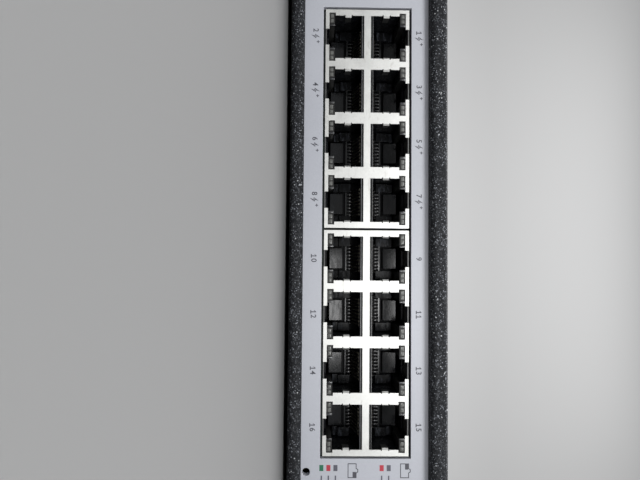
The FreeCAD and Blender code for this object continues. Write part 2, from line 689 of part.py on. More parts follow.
def rubber_feet():
    feet = []
    for side in (-1, 1):
        x = side * (COVER_HALF - FOOT_INSET_X)
        for y in (FRONT_Y + FOOT_INSET_Y, REAR_Y - FOOT_INSET_Y):
            feet.append(rod(FOOT_RADIUS, x, y, 0, (0, 0, 1), FOOT_HEIGHT))
    return Part.makeCompound(feet)


def cover_screws():
    """Pan head screws through the cover's rear flange into the base."""
    screws = []
    for x, z in cover_screw_places():
        head = rod(HEAD_RADIUS, x, REAR_Y, z, (0, 1, 0), HEAD_HEIGHT)
        shank = rod(THREAD_RADIUS, x, REAR_Y, z, (0, -1, 0), COVER_SCREW_LENGTH)
        screws.append(joined(head, [shank]))
    return Part.makeCompound(screws)


def standoffs():
    """Six-sided posts on the floor that carry the two boards."""
    corner_radius = STANDOFF_FLATS / math.sqrt(3)
    posts = []
    for x, y in standoff_places():
        corners = []
        for index in range(6):
            angle = index * math.pi / 3
            corners.append((x + corner_radius * math.cos(angle), y + corner_radius * math.sin(angle), 0))
        posts.append(extrude_along_z(corners, (FLOOR_Z, BOARD_Z)))
    return Part.makeCompound(posts)


def main_board():
    return box((MAIN_LEFT, MAIN_RIGHT), (BOARD_FRONT_Y, MAIN_REAR_Y), (BOARD_Z, BOARD_TOP_Z))


def supply_board():
    y = (SUPPLY_FRONT_Y, SUPPLY_REAR_Y)
    return box((SUPPLY_LEFT, SUPPLY_RIGHT), y, (BOARD_Z, BOARD_TOP_Z))


def on_board(x, y, width, depth, height):
    return box(span(x, width), span(y, depth), (BOARD_TOP_Z, BOARD_TOP_Z + height))


def lan_transformers():
    bodies = []
    for block_x in BLOCK_CENTRES:
        for x in column_centres(block_x):
            bodies.append(on_board(x, LAN_Y, LAN_SIZE, LAN_SIZE, LAN_HEIGHT))
    return Part.makeCompound(bodies)


def switch_chip():
    return on_board(BLOCKS_X, CHIP_Y, CHIP_SIZE, CHIP_SIZE, CHIP_HEIGHT)


def chip_heatsink():
    seat = BOARD_TOP_Z + CHIP_HEIGHT
    y = span(CHIP_Y, HEATSINK_SIZE)
    plate = box(span(BLOCKS_X, HEATSINK_SIZE), y, (seat, seat + HEATSINK_PLATE))
    pitch = (HEATSINK_SIZE - FIN_THICKNESS) / (FIN_COUNT - 1)
    fin_z = (seat + HEATSINK_PLATE, seat + HEATSINK_HEIGHT)
    fins = []
    for index in range(FIN_COUNT):
        fin_x = BLOCKS_X + (index - (FIN_COUNT - 1) / 2) * pitch
        fins.append(box(span(fin_x, FIN_THICKNESS), y, fin_z))
    return joined(plate, fins)


def poe_controllers():
    """Power controllers behind the left block, whose sockets feed power."""
    chips = []
    for index in range(POE_COUNT):
        x = BLOCK_CENTRES[0] + (index - (POE_COUNT - 1) / 2) * POE_SPACING
        chips.append(on_board(x, POE_Y, POE_SIZE, POE_SIZE, POE_HEIGHT))
    return Part.makeCompound(chips)


def board_inductors():
    coils = []
    for index in range(INDUCTOR_COUNT):
        x = BLOCKS_X + (index - (INDUCTOR_COUNT - 1) / 2) * INDUCTOR_PITCH
        coils.append(on_board(x, INDUCTOR_Y, INDUCTOR_SIZE, INDUCTOR_SIZE, INDUCTOR_HEIGHT))
    return Part.makeCompound(coils)


def capacitors():
    """The supply's tall input can, and smoothing cans at its output and at the main board's input."""
    bulk_x = CHOKE_RIGHT + PART_GAP + BULK_RADIUS
    cans = [rod(BULK_RADIUS, bulk_x, BULK_Y, BOARD_TOP_Z, (0, 0, 1), BULK_HEIGHT)]
    output_y = SINK_FRONT_Y - PART_GAP - CAPACITOR_RADIUS
    input_x = MAIN_LEFT + PART_GAP + CAPACITOR_RADIUS
    input_y = HEADER_FRONT_Y - PART_GAP - CAPACITOR_RADIUS
    for x, y in ((TRANSFORMER_X, output_y), (input_x, input_y)):
        cans.append(rod(CAPACITOR_RADIUS, x, y, BOARD_TOP_Z, (0, 0, 1), CAPACITOR_HEIGHT))
    return Part.makeCompound(cans)


def insulation_sheet():
    """Film on the floor under the supply board, clear of its posts."""
    inset = STANDOFF_INSET + STANDOFF_FLATS
    x = (SUPPLY_LEFT + inset, SUPPLY_RIGHT - inset)
    y = (SUPPLY_FRONT_Y - FILM_MARGIN, SUPPLY_REAR_Y - FILM_MARGIN)
    return box(x, y, (FLOOR_Z, FLOOR_Z + FILM_THICKNESS))


def mains_inlet():
    """Three-blade inlet with two cut corners, soldered to the supply board and open to the rear."""
    body = box(span(INLET_X, INLET_WIDTH), (INLET_FRONT_Y, INLET_REAR_Y), span(INLET_Z, INLET_HEIGHT))
    left, right = span(INLET_X, INLET_MOUTH_WIDTH)
    low, high = span(INLET_Z, INLET_MOUTH_HEIGHT)
    mouth = extrude_along_y(
        [
            (left, low, 0),
            (right, low, 0),
            (right, high - INLET_MOUTH_CORNER, 0),
            (right - INLET_MOUTH_CORNER, high, 0),
            (left + INLET_MOUTH_CORNER, high, 0),
            (left, high - INLET_MOUTH_CORNER, 0),
        ],
        (INLET_REAR_Y - INLET_MOUTH_DEPTH, INLET_REAR_Y),
    )
    return body.cut(mouth)


def inlet_pins():
    root = INLET_REAR_Y - INLET_MOUTH_DEPTH
    y = (root, root + BLADE_LENGTH)
    centres = [
        (INLET_X - BLADE_SPACING / 2, INLET_Z - BLADE_EARTH_RISE / 2),
        (INLET_X + BLADE_SPACING / 2, INLET_Z - BLADE_EARTH_RISE / 2),
        (INLET_X, INLET_Z + BLADE_EARTH_RISE / 2),
    ]
    return Part.makeCompound([box(span(x, BLADE_WIDTH), y, span(z, BLADE_HEIGHT)) for x, z in centres])


def fuse():
    return on_board(FUSE_X, INLET_FRONT_Y + FUSE_WIDTH / 2, FUSE_LENGTH, FUSE_WIDTH, FUSE_HEIGHT)


def filter_capacitor():
    return on_board(FILTER_X, INLET_FRONT_Y + FILTER_DEPTH / 2, FILTER_WIDTH, FILTER_DEPTH, FILTER_HEIGHT)


def filter_choke():
    """Square core with two wound legs, in line with the inlet."""
    core = on_board(INLET_X, CHOKE_Y, CHOKE_WIDTH, CHOKE_DEPTH, CHOKE_HEIGHT)
    window_z = (BOARD_TOP_Z + CHOKE_LEG, BOARD_TOP_Z + CHOKE_HEIGHT - CHOKE_LEG)
    return core.cut(box(span(INLET_X, CHOKE_LEG), span(CHOKE_Y, CHOKE_DEPTH), window_z))


def rectifier():
    x = CHOKE_RIGHT + PART_GAP + RECTIFIER_WIDTH / 2
    return on_board(x, RECTIFIER_Y, RECTIFIER_WIDTH, RECTIFIER_DEPTH, RECTIFIER_HEIGHT)


def transformer_core():
    """Ferrite frame with a middle leg, lying open to front and rear."""
    frame = on_board(TRANSFORMER_X, TRANSFORMER_Y, CORE_WIDTH, CORE_DEPTH, CORE_HEIGHT)
    window_z = (BOARD_TOP_Z + CORE_LEG, BOARD_TOP_Z + CORE_HEIGHT - CORE_LEG)
    window_width = CORE_WIDTH / 2 - 2 * CORE_LEG
    cuts = []
    for side in (-1, 1):
        window_x = span(TRANSFORMER_X + side * (CORE_LEG + window_width / 2), window_width)
        cuts.append(box(window_x, span(TRANSFORMER_Y, CORE_DEPTH), window_z))
    return frame.cut(cuts)


def transformer_winding():
    """Winding round the core's middle leg, longer than the core from front to rear."""
    inner_half = CORE_LEG + WINDING_GAP
    outer_half = CORE_WIDTH / 2 - CORE_LEG - WINDING_GAP
    z = (BOARD_TOP_Z + CORE_LEG, BOARD_TOP_Z + CORE_HEIGHT - CORE_LEG - WINDING_GAP)
    inner_y = span(TRANSFORMER_Y, CORE_DEPTH + 2 * WINDING_GAP)
    outer_y = (inner_y[0] - WINDING_THICKNESS, inner_y[1] + WINDING_THICKNESS)
    coil = box(span(TRANSFORMER_X, 2 * outer_half), outer_y, z)
    return coil.cut(box(span(TRANSFORMER_X, 2 * inner_half), inner_y, z))


def heatsink_places():
    """Inner face of each supply heatsink, and the side that its foot points to."""
    edge = SINK_FOOT + PART_GAP
    return [(SUPPLY_LEFT + edge, -1), (SUPPLY_RIGHT - edge, 1)]


def supply_heatsinks():
    """Two upright plates with a bent foot, on either side of the transformer."""
    sinks = []
    for x, side in heatsink_places():
        outline = [
            (x, BOARD_TOP_Z, 0),
            (x + side * SINK_FOOT, BOARD_TOP_Z, 0),
            (x + side * SINK_FOOT, BOARD_TOP_Z + SINK_THICKNESS, 0),
            (x + side * SINK_THICKNESS, BOARD_TOP_Z + SINK_THICKNESS, 0),
            (x + side * SINK_THICKNESS, BOARD_TOP_Z + SINK_HEIGHT, 0),
            (x, BOARD_TOP_Z + SINK_HEIGHT, 0),
        ]
        sinks.append(extrude_along_y(outline, (SINK_FRONT_Y, SINK_REAR_Y)))
    return Part.makeCompound(sinks)


def power_devices():
    """Switching transistor and output rectifier, flat on the inner faces of the heatsinks."""
    z = (BOARD_TOP_Z + DEVICE_RISE, BOARD_TOP_Z + DEVICE_RISE + DEVICE_HEIGHT)
    devices = []
    for x, side in heatsink_places():
        device_x = span(x - side * DEVICE_DEPTH / 2, DEVICE_DEPTH)
        devices.append(box(device_x, span(TRANSFORMER_Y, DEVICE_WIDTH), z))
    return Part.makeCompound(devices)


def header_places():
    edge = PART_GAP + HEADER_WIDTH / 2
    return [SUPPLY_RIGHT - edge, MAIN_LEFT + edge]


def power_headers():
    headers = []
    for x in header_places():
        headers.append(on_board(x, HEADER_Y, HEADER_WIDTH, HEADER_LENGTH, HEADER_HEIGHT))
    return Part.makeCompound(headers)


def power_cable():
    """Flat cable that rises from one header, crosses between the boards and drops to the other."""
    left, right = header_places()
    seat = BOARD_TOP_Z + HEADER_HEIGHT
    crest = seat + CABLE_RISE
    half = CABLE_THICKNESS / 2
    inner_bend = CABLE_BEND - CABLE_THICKNESS
    outline = [
        (left - half, seat, 0),
        (left - half, crest, CABLE_BEND),
        (right + half, crest, CABLE_BEND),
        (right + half, seat, 0),
        (right - half, seat, 0),
        (right - half, crest - CABLE_THICKNESS, inner_bend),
        (left + half, crest - CABLE_THICKNESS, inner_bend),
        (left + half, seat, 0),
    ]
    return extrude_along_y(outline, span(HEADER_Y, CABLE_WIDTH))


def all_pieces():
    pieces = {
        "base_pan": base_pan(),
        "top_cover": top_cover(),
        "front_panel": front_panel(),
        "rubber_feet": rubber_feet(),
        "cover_screws": cover_screws(),
        "indicator_leds": indicator_leds(),
        "main_board": main_board(),
        "standoffs": standoffs(),
        "lan_transformers": lan_transformers(),
        "switch_chip": switch_chip(),
        "chip_heatsink": chip_heatsink(),
        "poe_controllers": poe_controllers(),
        "board_inductors": board_inductors(),
        "capacitors": capacitors(),
        "supply_board": supply_board(),
        "insulation_sheet": insulation_sheet(),
        "mains_inlet": mains_inlet(),
        "inlet_pins": inlet_pins(),
        "fuse": fuse(),
        "filter_capacitor": filter_capacitor(),
        "filter_choke": filter_choke(),
        "rectifier": rectifier(),
        "transformer_core": transformer_core(),
        "transformer_winding": transformer_winding(),
        "supply_heatsinks": supply_heatsinks(),
        "power_devices": power_devices(),
        "power_headers": power_headers(),
        "power_cable": power_cable(),
    }
    column = 0
    for name, block_x in zip(("left", "right"), BLOCK_CENTRES):
        pieces["jack_shield_" + name] = jack_shield(block_x)
        pieces["jack_housing_" + name] = jack_housing(block_x)
        pieces["light_pipes_" + name] = light_pipes(block_x)
        for x in column_centres(block_x):
            column += 1
            pieces[f"contact_carrier_{column}"] = contact_carrier(x)
            pieces[f"port_contacts_{column}"] = port_contacts(x)
    return pieces


os.makedirs("parts", exist_ok=True)
for node, shape in all_pieces().items():
    shape.exportStep(f"parts/{node}.step")
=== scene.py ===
"""Looks of a sixteen-port power over ethernet switch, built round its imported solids, in metres."""

import math

import bmesh
import bpy
from mathutils import Matrix, Vector


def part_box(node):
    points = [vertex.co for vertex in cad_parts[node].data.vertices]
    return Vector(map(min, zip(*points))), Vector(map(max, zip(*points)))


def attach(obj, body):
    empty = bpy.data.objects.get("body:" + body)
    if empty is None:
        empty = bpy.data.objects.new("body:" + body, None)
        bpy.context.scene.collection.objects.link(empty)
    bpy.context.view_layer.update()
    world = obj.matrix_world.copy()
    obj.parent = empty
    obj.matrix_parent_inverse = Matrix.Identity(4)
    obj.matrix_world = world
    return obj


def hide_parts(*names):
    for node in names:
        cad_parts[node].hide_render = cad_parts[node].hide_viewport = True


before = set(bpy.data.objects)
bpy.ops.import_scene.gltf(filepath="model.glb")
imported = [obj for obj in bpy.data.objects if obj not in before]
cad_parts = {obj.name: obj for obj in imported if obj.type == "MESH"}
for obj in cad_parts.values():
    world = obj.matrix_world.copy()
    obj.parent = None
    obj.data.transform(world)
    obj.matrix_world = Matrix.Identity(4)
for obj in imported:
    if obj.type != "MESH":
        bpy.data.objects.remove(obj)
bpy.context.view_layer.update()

MM = 0.001
MERGE = 0.0005 * MM

# Places taken from the solids
PANEL_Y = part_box("front_panel")[0].y
SHIELD_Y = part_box("jack_shield_left")[0].y
HOUSING_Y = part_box("jack_housing_left")[0].y
PIPE_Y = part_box("light_pipes_left")[0].y
COLUMNS = 8
CARRIER_BOXES = [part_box(f"contact_carrier_{column}") for column in range(1, COLUMNS + 1)]
COLUMN_X = [(low.x + high.x) / 2 for low, high in CARRIER_BOXES]
PORT_Z = (CARRIER_BOXES[0][0].z + CARRIER_BOXES[0][1].z) / 2
BLOCK_COLUMNS = {"left": COLUMN_X[: COLUMNS // 2], "right": COLUMN_X[COLUMNS // 2 :]}

# Sockets
CENTRE_BAR = 1.9 * MM
PORT_WIDTH = 12.1 * MM
PORT_HEIGHT = 8.0 * MM
CAVITY_WIDTH = 12.6 * MM
CAVITY_DEPTH = 12.0 * MM
CARRIER_Y = HOUSING_Y + CAVITY_DEPTH
CAVITY_STEP = 0.5 * MM
LIP_RISE = 0.42 * MM
LIP_HEIGHT = 0.28 * MM
LIP_PROUD = 0.08 * MM
LIP_DEPTH = 0.6 * MM
WINDOW_SPAN = 13.7 * MM
WINDOW_HEIGHT = 1.75 * MM
LATCH_WIDTH = 7.3 * MM
PIPE_DROP = 0.2 * MM
PIPE_GAP = 0.05 * MM
FINGER_WIDTH = 1.7 * MM
FINGER_RISE = 4.4 * MM
SLIT_WIDTH = 0.28 * MM
SLIT_DEPTH = 0.25 * MM
SLIT_LEAD = 1.0 * MM
SHIELD_BEVEL = 0.05 * MM
# Depth behind the shield's front from which its faces take the darker plate, as painted shade
PAINTED_SHADE_DEPTH = 0.25 * MM

# Contact carriers and springs
CARRIER_GAP = 0.1 * MM
CONTACTS = 8
CONTACT_PITCH = 1.016 * MM
CONTACT_WIDTH = 0.46 * MM
CONTACT_SHEET = 0.22 * MM
CONTACT_SETBACK = 4.5 * MM
CONTACT_ROOT = 1.0 * MM
CONTACT_BEND = 0.5 * MM
CONTACT_BEND_STEPS = 3
CONTACT_TIP_RISE = 2.2 * MM
COMB_MARGIN = 0.5 * MM
COMB_RISE = 2.2 * MM
COMB_HEIGHT = 2.1 * MM
COMB_PROUD = 1.0 * MM
COMB_SPINE = 0.5 * MM
COMB_SLOT = 0.46 * MM
COMB_EDGE = 0.05 * MM
STOP_GAP = 0.65 * MM
STOP_RISE = 5.0 * MM
STOP_DROP = 0.85 * MM
STOP_PROUD = 2.0 * MM
STOP_DRAFT = math.radians(4.5)
WING_INSET = 0.25 * MM
WING_WIDTH = 2.5 * MM
WING_RISE = 2.8 * MM
WING_PROUD = 2.2 * MM
WING_STEP = 0.9 * MM
WING_STEP_DROP = 1.6 * MM
MOULD_EDGE = 0.12 * MM

# Lamp lenses
LENS_FRAME = 0.34 * MM
LENS_FRAME_PROUD = 0.07 * MM
PAD_GAP = 0.4 * MM
PAD_PROUD = 0.05 * MM
PAD_EDGE = 0.02 * MM
BAND_WIDTH = 0.5 * MM
BAND_GAP = 0.1 * MM
BAND_DEPTH = 0.6 * MM

# Print
INK = 0.02 * MM
NUMBER_HEIGHT = 1.45 * MM
FONT_DIGIT_SHARE = 0.7
DIGIT_PITCH = 1.2 * MM
DIGIT_SWELL = 0.03 * MM
DIGIT_STEPS = 5
ONE_HEIGHT = 1.55 * MM
ONE_STROKE = 0.26 * MM
ONE_FLAG = 0.42 * MM
ONE_FOOT = 0.95 * MM
LOWER_LABEL_Z = 7.7 * MM
UPPER_LABEL_Z = 36.55 * MM
POWERED_COLUMNS = 4
UPPER_MARK_SHIFT = 0.4 * MM
MARK_NUMBER_SHIFT = -1.65 * MM
MARK_PLUS_SHIFT = 1.6 * MM
MARK_PLUS_RISE = 0.7 * MM
FLASH_HEIGHT = 2.5 * MM
FLASH_LINE = 0.16 * MM
FLASH_POINTS = ((0.3, 1.0), (-0.5, -0.1), (-0.06, -0.16))
PLUS_SIZE = 0.8 * MM
PLUS_STROKE = 0.2 * MM
SQUARE_WIDTH = 1.6 * MM
SQUARE_HEIGHT = 1.1 * MM
LEGEND_X = 120.6 * MM
LEGEND_PITCH = 1.9 * MM
LOWER_LEGEND_Z = 10.3 * MM
UPPER_LEGEND_Z = 26.6 * MM
ICON_X = 121.3 * MM
ICON_WIDTH = 3.9 * MM
ICON_HEIGHT = 2.4 * MM
ICON_TAB_WIDTH = 1.3 * MM
ICON_TAB_HEIGHT = 0.45 * MM
ICON_TAB_TAPER = 0.6
ICON_LINE = 0.22 * MM
ICON_LAMP_WIDTH = 1.4 * MM
ICON_LAMP_HEIGHT = 0.85 * MM
LOWER_ICON_Z = 18.6 * MM
UPPER_ICON_Z = 32.8 * MM
DASH_X = 122.6 * MM
DASH_LENGTH = 2.4 * MM
DASH_HEIGHT = 0.375 * MM

# Fasteners and feet
SCREW_SIDES = 40
SCREW_EDGE = 0.55 * MM
SCREW_EDGE_STEPS = 4
SHANK_RADIUS = 1.5 * MM
BOARD_HEAD_RADIUS = 2.6 * MM
BOARD_HEAD_HEIGHT = 1.7 * MM
CROSS_WIDTH = 0.75 * MM
CROSS_SPAN = 3.2 * MM
CROSS_DEPTH = 1.1 * MM
FOOT_RADIUS = 6.5 * MM
FOOT_SIDES = 48
FOOT_EDGE = 0.25 * MM
FOOT_DISH_INSET = 1.6 * MM
FOOT_DISH_DEPTH = 0.25 * MM
BLADE_EDGE = 0.5 * MM

# Small rounding of sharp edges on the larger pieces
SHEET_EDGE = 0.12 * MM
PANEL_EDGE = 0.1 * MM
MOULDED_EDGE = 0.08 * MM
EDGE_STEPS = 2

# Angles between faces: from which an edge is rounded, is shaded sharp, and below which faces are joined
ROUNDED_ANGLE = math.radians(50)
SHARP_ANGLE = math.radians(35)
JOINED_ANGLE = math.radians(0.5)

# Weight of large faces in the shading of the rounded edges beside them
FLAT_WEIGHT = 100

# Cosine from which a face counts as square to an axis
FACING = 0.9

# Tints of finishes, in shares of a grey
COAT_TINT = (0.92, 0.97, 1.08)
RUB_TINT = (0.92, 1.0, 1.2)

# Roughness of the sockets' plastic where it is dull, streaked or rubbed, in shares of its smooth places
DULL_ROUGH = 1.45
STREAK_ROUGH = 2.1
RUB_ROUGH = 1.35

# Streaks and worn ink
STREAK_STRETCH = 0.3
MASK_SOFTNESS = 0.12
INK_FADE = 1.25
INK_LIFT = 0.012

# Stage
FLOOR_TONE = 0.13
FLOOR_FRONT = -2.2
WALL_TONE = 0.23
WALL_GLOW = 0.24
WALL_Y = 1.1
WALL_HEIGHT = 2.4
STAGE_HALF = 2.6
COVE_RADIUS = 0.5
COVE_STEPS = 16
FLOOR_RISE = COVE_RADIUS / 4

# Light: place, point faced, width and height in metres, and power in watts of every lamp
LAMPS = {
    "front_key": ((0.05, -0.25, 0.13), (0.05, -0.09, 0.025), (0.32, 0.06), 0.37),
    "near_fill": ((0.095, -0.245, 0.046), (0.085, -0.07, 0.025), (0.062, 0.02), 0.047),
    "back_soft": ((0.0, 0.5, 1.1), (0.0, 0.25, 0.0), (1.2, 0.8), 25.0),
}
SKY_COLOUR = (0.96, 0.98, 1.0)
SKY_STRENGTH = 0.63

# Camera: the picture's right is the part's top, and its lower edge the part's right
CAMERA_PLACE = Vector((64.14, -221.26, 7.31)) * MM
CAMERA_SENSOR = 36
CAMERA_LENS = 27.46
CAMERA_TILT = (math.radians(0.91), math.radians(-0.51), math.radians(2.16))
CAMERA_NEAR = 0.5 * MM


# Node groups shared by the finishes

NUMBER = "NodeSocketFloat"
COLOUR = "NodeSocketColor"


def new_group(name, inputs, outputs):
    group = bpy.data.node_groups.new(name, "ShaderNodeTree")
    for label, kind in inputs:
        group.interface.new_socket(label, in_out="INPUT", socket_type=kind)
    for label, kind in outputs:
        group.interface.new_socket(label, in_out="OUTPUT", socket_type=kind)
    return group, group.nodes.new("NodeGroupInput"), group.nodes.new("NodeGroupOutput")


def add_node(tree, kind, **settings):
    node = tree.nodes.new(kind)
    for key, value in settings.items():
        setattr(node, key, value)
    return node


def mix_colours(tree, factor, first, second):
    mix = add_node(tree, "ShaderNodeMix", data_type="RGBA")
    tree.links.new(factor, mix.inputs[0])
    for source, socket in ((first, mix.inputs[6]), (second, mix.inputs[7])):
        if isinstance(source, bpy.types.NodeSocket):
            tree.links.new(source, socket)
        else:
            socket.default_value = (*source, 1)
    return mix.outputs[2]


def math_node(tree, operation, first, second):
    node = add_node(tree, "ShaderNodeMath", operation=operation)
    for index, source in enumerate((first, second)):
        if isinstance(source, bpy.types.NodeSocket):
            tree.links.new(source, node.inputs[index])
        else:
            node.inputs[index].default_value = source
    return node.outputs[0]


def mottle_group():
    """Slow drift of colour and gloss, and a fine grain for the bump."""
    group, given, result = new_group(
        "mottle",
        [("Drift Scale", NUMBER), ("Grain Scale", NUMBER), ("Low Colour", COLOUR), ("High Colour", COLOUR),
         ("Low Roughness", NUMBER), ("High Roughness", NUMBER)],
        [("Colour", COLOUR), ("Roughness", NUMBER), ("Height", NUMBER)],
    )
    place = add_node(group, "ShaderNodeTexCoord")
    drift = add_node(group, "ShaderNodeTexNoise")
    drift.inputs["Detail"].default_value = 4
    grain = add_node(group, "ShaderNodeTexNoise")
    grain.inputs["Detail"].default_value = 3
    link = group.links.new
    for texture, scale in ((drift, "Drift Scale"), (grain, "Grain Scale")):
        link(place.outputs["Object"], texture.inputs["Vector"])
        link(given.outputs[scale], texture.inputs["Scale"])
    blend = math_node(group, "ADD", drift.outputs["Fac"], grain.outputs["Fac"])
    spread = add_node(group, "ShaderNodeMapRange")
    spread.inputs["From Min"].default_value = 0.7
    spread.inputs["From Max"].default_value = 1.3
    link(blend, spread.inputs["Value"])
    low, high = given.outputs["Low Colour"], given.outputs["High Colour"]
    tint = mix_colours(group, spread.outputs["Result"], low, high)
    gloss = add_node(group, "ShaderNodeMapRange")
    link(spread.outputs["Result"], gloss.inputs["Value"])
    link(given.outputs["Low Roughness"], gloss.inputs["To Min"])
    link(given.outputs["High Roughness"], gloss.inputs["To Max"])
    link(tint, result.inputs["Colour"])
    link(gloss.outputs["Result"], result.inputs["Roughness"])
    link(grain.outputs["Fac"], result.inputs["Height"])
    return group


def flecks_group():
    """Scattered small spots, one in each chosen cell, and the cells' rounded height."""
    group, given, result = new_group(
        "flecks",
        [("Scale", NUMBER), ("Share", NUMBER), ("Size", NUMBER)],
        [("Mask", NUMBER), ("Height", NUMBER)],
    )
    place = add_node(group, "ShaderNodeTexCoord")
    cells = add_node(group, "ShaderNodeTexVoronoi")
    link = group.links.new
    link(place.outputs["Object"], cells.inputs["Vector"])
    link(given.outputs["Scale"], cells.inputs["Scale"])
    pick = add_node(group, "ShaderNodeSeparateColor")
    link(cells.outputs["Color"], pick.inputs["Color"])
    chosen = math_node(group, "LESS_THAN", pick.outputs["Red"], given.outputs["Share"])
    near = math_node(group, "LESS_THAN", cells.outputs["Distance"], given.outputs["Size"])
    link(math_node(group, "MULTIPLY", chosen, near), result.inputs["Mask"])
    link(math_node(group, "SUBTRACT", 1.0, cells.outputs["Distance"]), result.inputs["Height"])
    return group


def scuffs_group():
    """Broken streaks, stretched along the part's X, as handling and stamping leave them."""
    group, given, result = new_group(
        "scuffs",
        [("Scale", NUMBER), ("Cover", NUMBER)],
        [("Mask", NUMBER)],
    )
    place = add_node(group, "ShaderNodeTexCoord")
    stretch = add_node(group, "ShaderNodeMapping")
    stretch.inputs["Scale"].default_value = (STREAK_STRETCH, 1.0, 1.0)
    streak = add_node(group, "ShaderNodeTexNoise")
    streak.inputs["Detail"].default_value = 5
    streak.inputs["Distortion"].default_value = 0.6
    link = group.links.new
    link(place.outputs["Object"], stretch.inputs["Vector"])
    link(stretch.outputs["Vector"], streak.inputs["Vector"])
    link(given.outputs["Scale"], streak.inputs["Scale"])
    edge = math_node(group, "SUBTRACT", 1.0, given.outputs["Cover"])
    soft = add_node(group, "ShaderNodeMapRange")
    link(streak.outputs["Fac"], soft.inputs["Value"])
    link(edge, soft.inputs["From Min"])
    link(math_node(group, "ADD", edge, MASK_SOFTNESS), soft.inputs["From Max"])
    link(soft.outputs["Result"], result.inputs["Mask"])
    return group


MOTTLE = mottle_group()
FLECKS = flecks_group()
SCUFFS = scuffs_group()


# Finishes

def place_group(tree, group, **values):
    node = add_node(tree, "ShaderNodeGroup", node_tree=group)
    for label, value in values.items():
        socket = node.inputs[label.replace("_", " ").title()]
        socket.default_value = (*value, 1) if isinstance(value, tuple) else value
    return node


def new_finish(name, low, high, drift, grain, rough, bump=0.05 * MM, bump_strength=0.3, **sockets):
    """Finish with a drifting colour and gloss and a fine bump; other Principled sockets by name."""
    finish = bpy.data.materials.new(name)
    finish.use_nodes = True
    tree = finish.node_tree
    shader = tree.nodes["Principled BSDF"]
    base = place_group(
        tree, MOTTLE, drift_scale=drift, grain_scale=grain, low_colour=low, high_colour=high,
        low_roughness=rough[0], high_roughness=rough[1],
    )
    relief = add_node(tree, "ShaderNodeBump")
    relief.inputs["Strength"].default_value = bump_strength
    relief.inputs["Distance"].default_value = bump
    tree.links.new(base.outputs["Colour"], shader.inputs["Base Color"])
    tree.links.new(base.outputs["Roughness"], shader.inputs["Roughness"])
    tree.links.new(base.outputs["Height"], relief.inputs["Height"])
    tree.links.new(relief.outputs["Normal"], shader.inputs["Normal"])
    for label, value in sockets.items():
        shader.inputs[label.replace("_", " ").title().replace("Ior", "IOR")].default_value = value
    return finish


def tinted(tone, tint):
    return tuple(tone * share for share in tint)


def source_of(socket):
    return socket.links[0].from_socket


def overlay(finish, mask, colour=None, roughness=None, metallic=None):
    """Lays a second colour, gloss or metal over the finish where the mask is."""
    tree = finish.node_tree
    shader = tree.nodes["Principled BSDF"]
    if colour is not None:
        under = source_of(shader.inputs["Base Color"])
        tree.links.new(mix_colours(tree, mask, under, colour), shader.inputs["Base Color"])
    if roughness is not None:
        blend = add_node(tree, "ShaderNodeMix")
        tree.links.new(mask, blend.inputs[0])
        tree.links.new(source_of(shader.inputs["Roughness"]), blend.inputs[2])
        blend.inputs[3].default_value = roughness
        tree.links.new(blend.outputs[0], shader.inputs["Roughness"])
    if metallic is not None:
        tree.links.new(math_node(tree, "MULTIPLY", mask, metallic), shader.inputs["Metallic"])


def powder_coat():
    """Black sand-textured coat: dark hollows, greyer grains of many tones and a few bright flecks."""
    finish = new_finish(
        "powder_coat", low=(0.004, 0.0045, 0.006), high=(0.008, 0.009, 0.0115), drift=90, grain=1500,
        rough=(0.62, 0.75), bump=0.08 * MM, bump_strength=0.5, specular_ior_level=0.25,
    )
    tree = finish.node_tree
    layers = ((2400.0, 0.4, 0.65, 0.02), (2900.0, 0.22, 0.6, 0.055), (3300.0, 0.09, 0.55, 0.19))
    for scale, share, size, tone in layers:
        grains = place_group(tree, FLECKS, scale=scale, share=share, size=size)
        overlay(finish, grains.outputs["Mask"], colour=tinted(tone, COAT_TINT))
    sparkle = place_group(tree, FLECKS, scale=2700.0, share=0.012, size=0.5)
    overlay(finish, sparkle.outputs["Mask"], colour=(0.35, 0.36, 0.37), roughness=0.45, metallic=0.2)
    relief = tree.nodes["Bump"]
    heights = math_node(tree, "ADD", source_of(relief.inputs["Height"]), grains.outputs["Height"])
    tree.links.new(heights, relief.inputs["Height"])
    return finish


def panel_paint():
    finish = new_finish(
        "panel_paint", low=(0.395, 0.406, 0.448), high=(0.43, 0.442, 0.484), drift=40, grain=2600,
        rough=(0.38, 0.44), bump=0.02 * MM, bump_strength=0.2, specular_ior_level=0.9,
    )
    specks = place_group(finish.node_tree, FLECKS, scale=260.0, share=0.02, size=0.07)
    overlay(finish, specks.outputs["Mask"], colour=(0.36, 0.36, 0.38), roughness=0.6)
    return finish


def plated_sheet():
    finish = new_finish(
        "plated_sheet", low=(0.62, 0.62, 0.6), high=(0.7, 0.7, 0.68), drift=300, grain=2400,
        rough=(0.43, 0.54), bump=0.02 * MM, bump_strength=0.2, metallic=1.0,
    )
    scuffs = place_group(finish.node_tree, SCUFFS, scale=900.0, cover=0.4)
    overlay(finish, scuffs.outputs["Mask"], colour=(0.56, 0.555, 0.53), roughness=0.52)
    return finish


def dull_plate():
    """Folded sides and spring fingers, darker and duller than the front: the darker colour is painted shade
    for where they lie in the sockets' shade.
    """
    return new_finish(
        "dull_plate", low=(0.1, 0.1, 0.1), high=(0.16, 0.16, 0.158), drift=300, grain=2400,
        rough=(0.5, 0.62), bump=0.02 * MM, bump_strength=0.2, metallic=1.0,
    )


def black_moulding():
    return new_finish(
        "black_moulding", low=(0.004, 0.004, 0.005), high=(0.008, 0.008, 0.01), drift=220, grain=3200,
        rough=(0.32, 0.44), bump=0.03 * MM, bump_strength=0.3, specular_ior_level=0.1,
    )


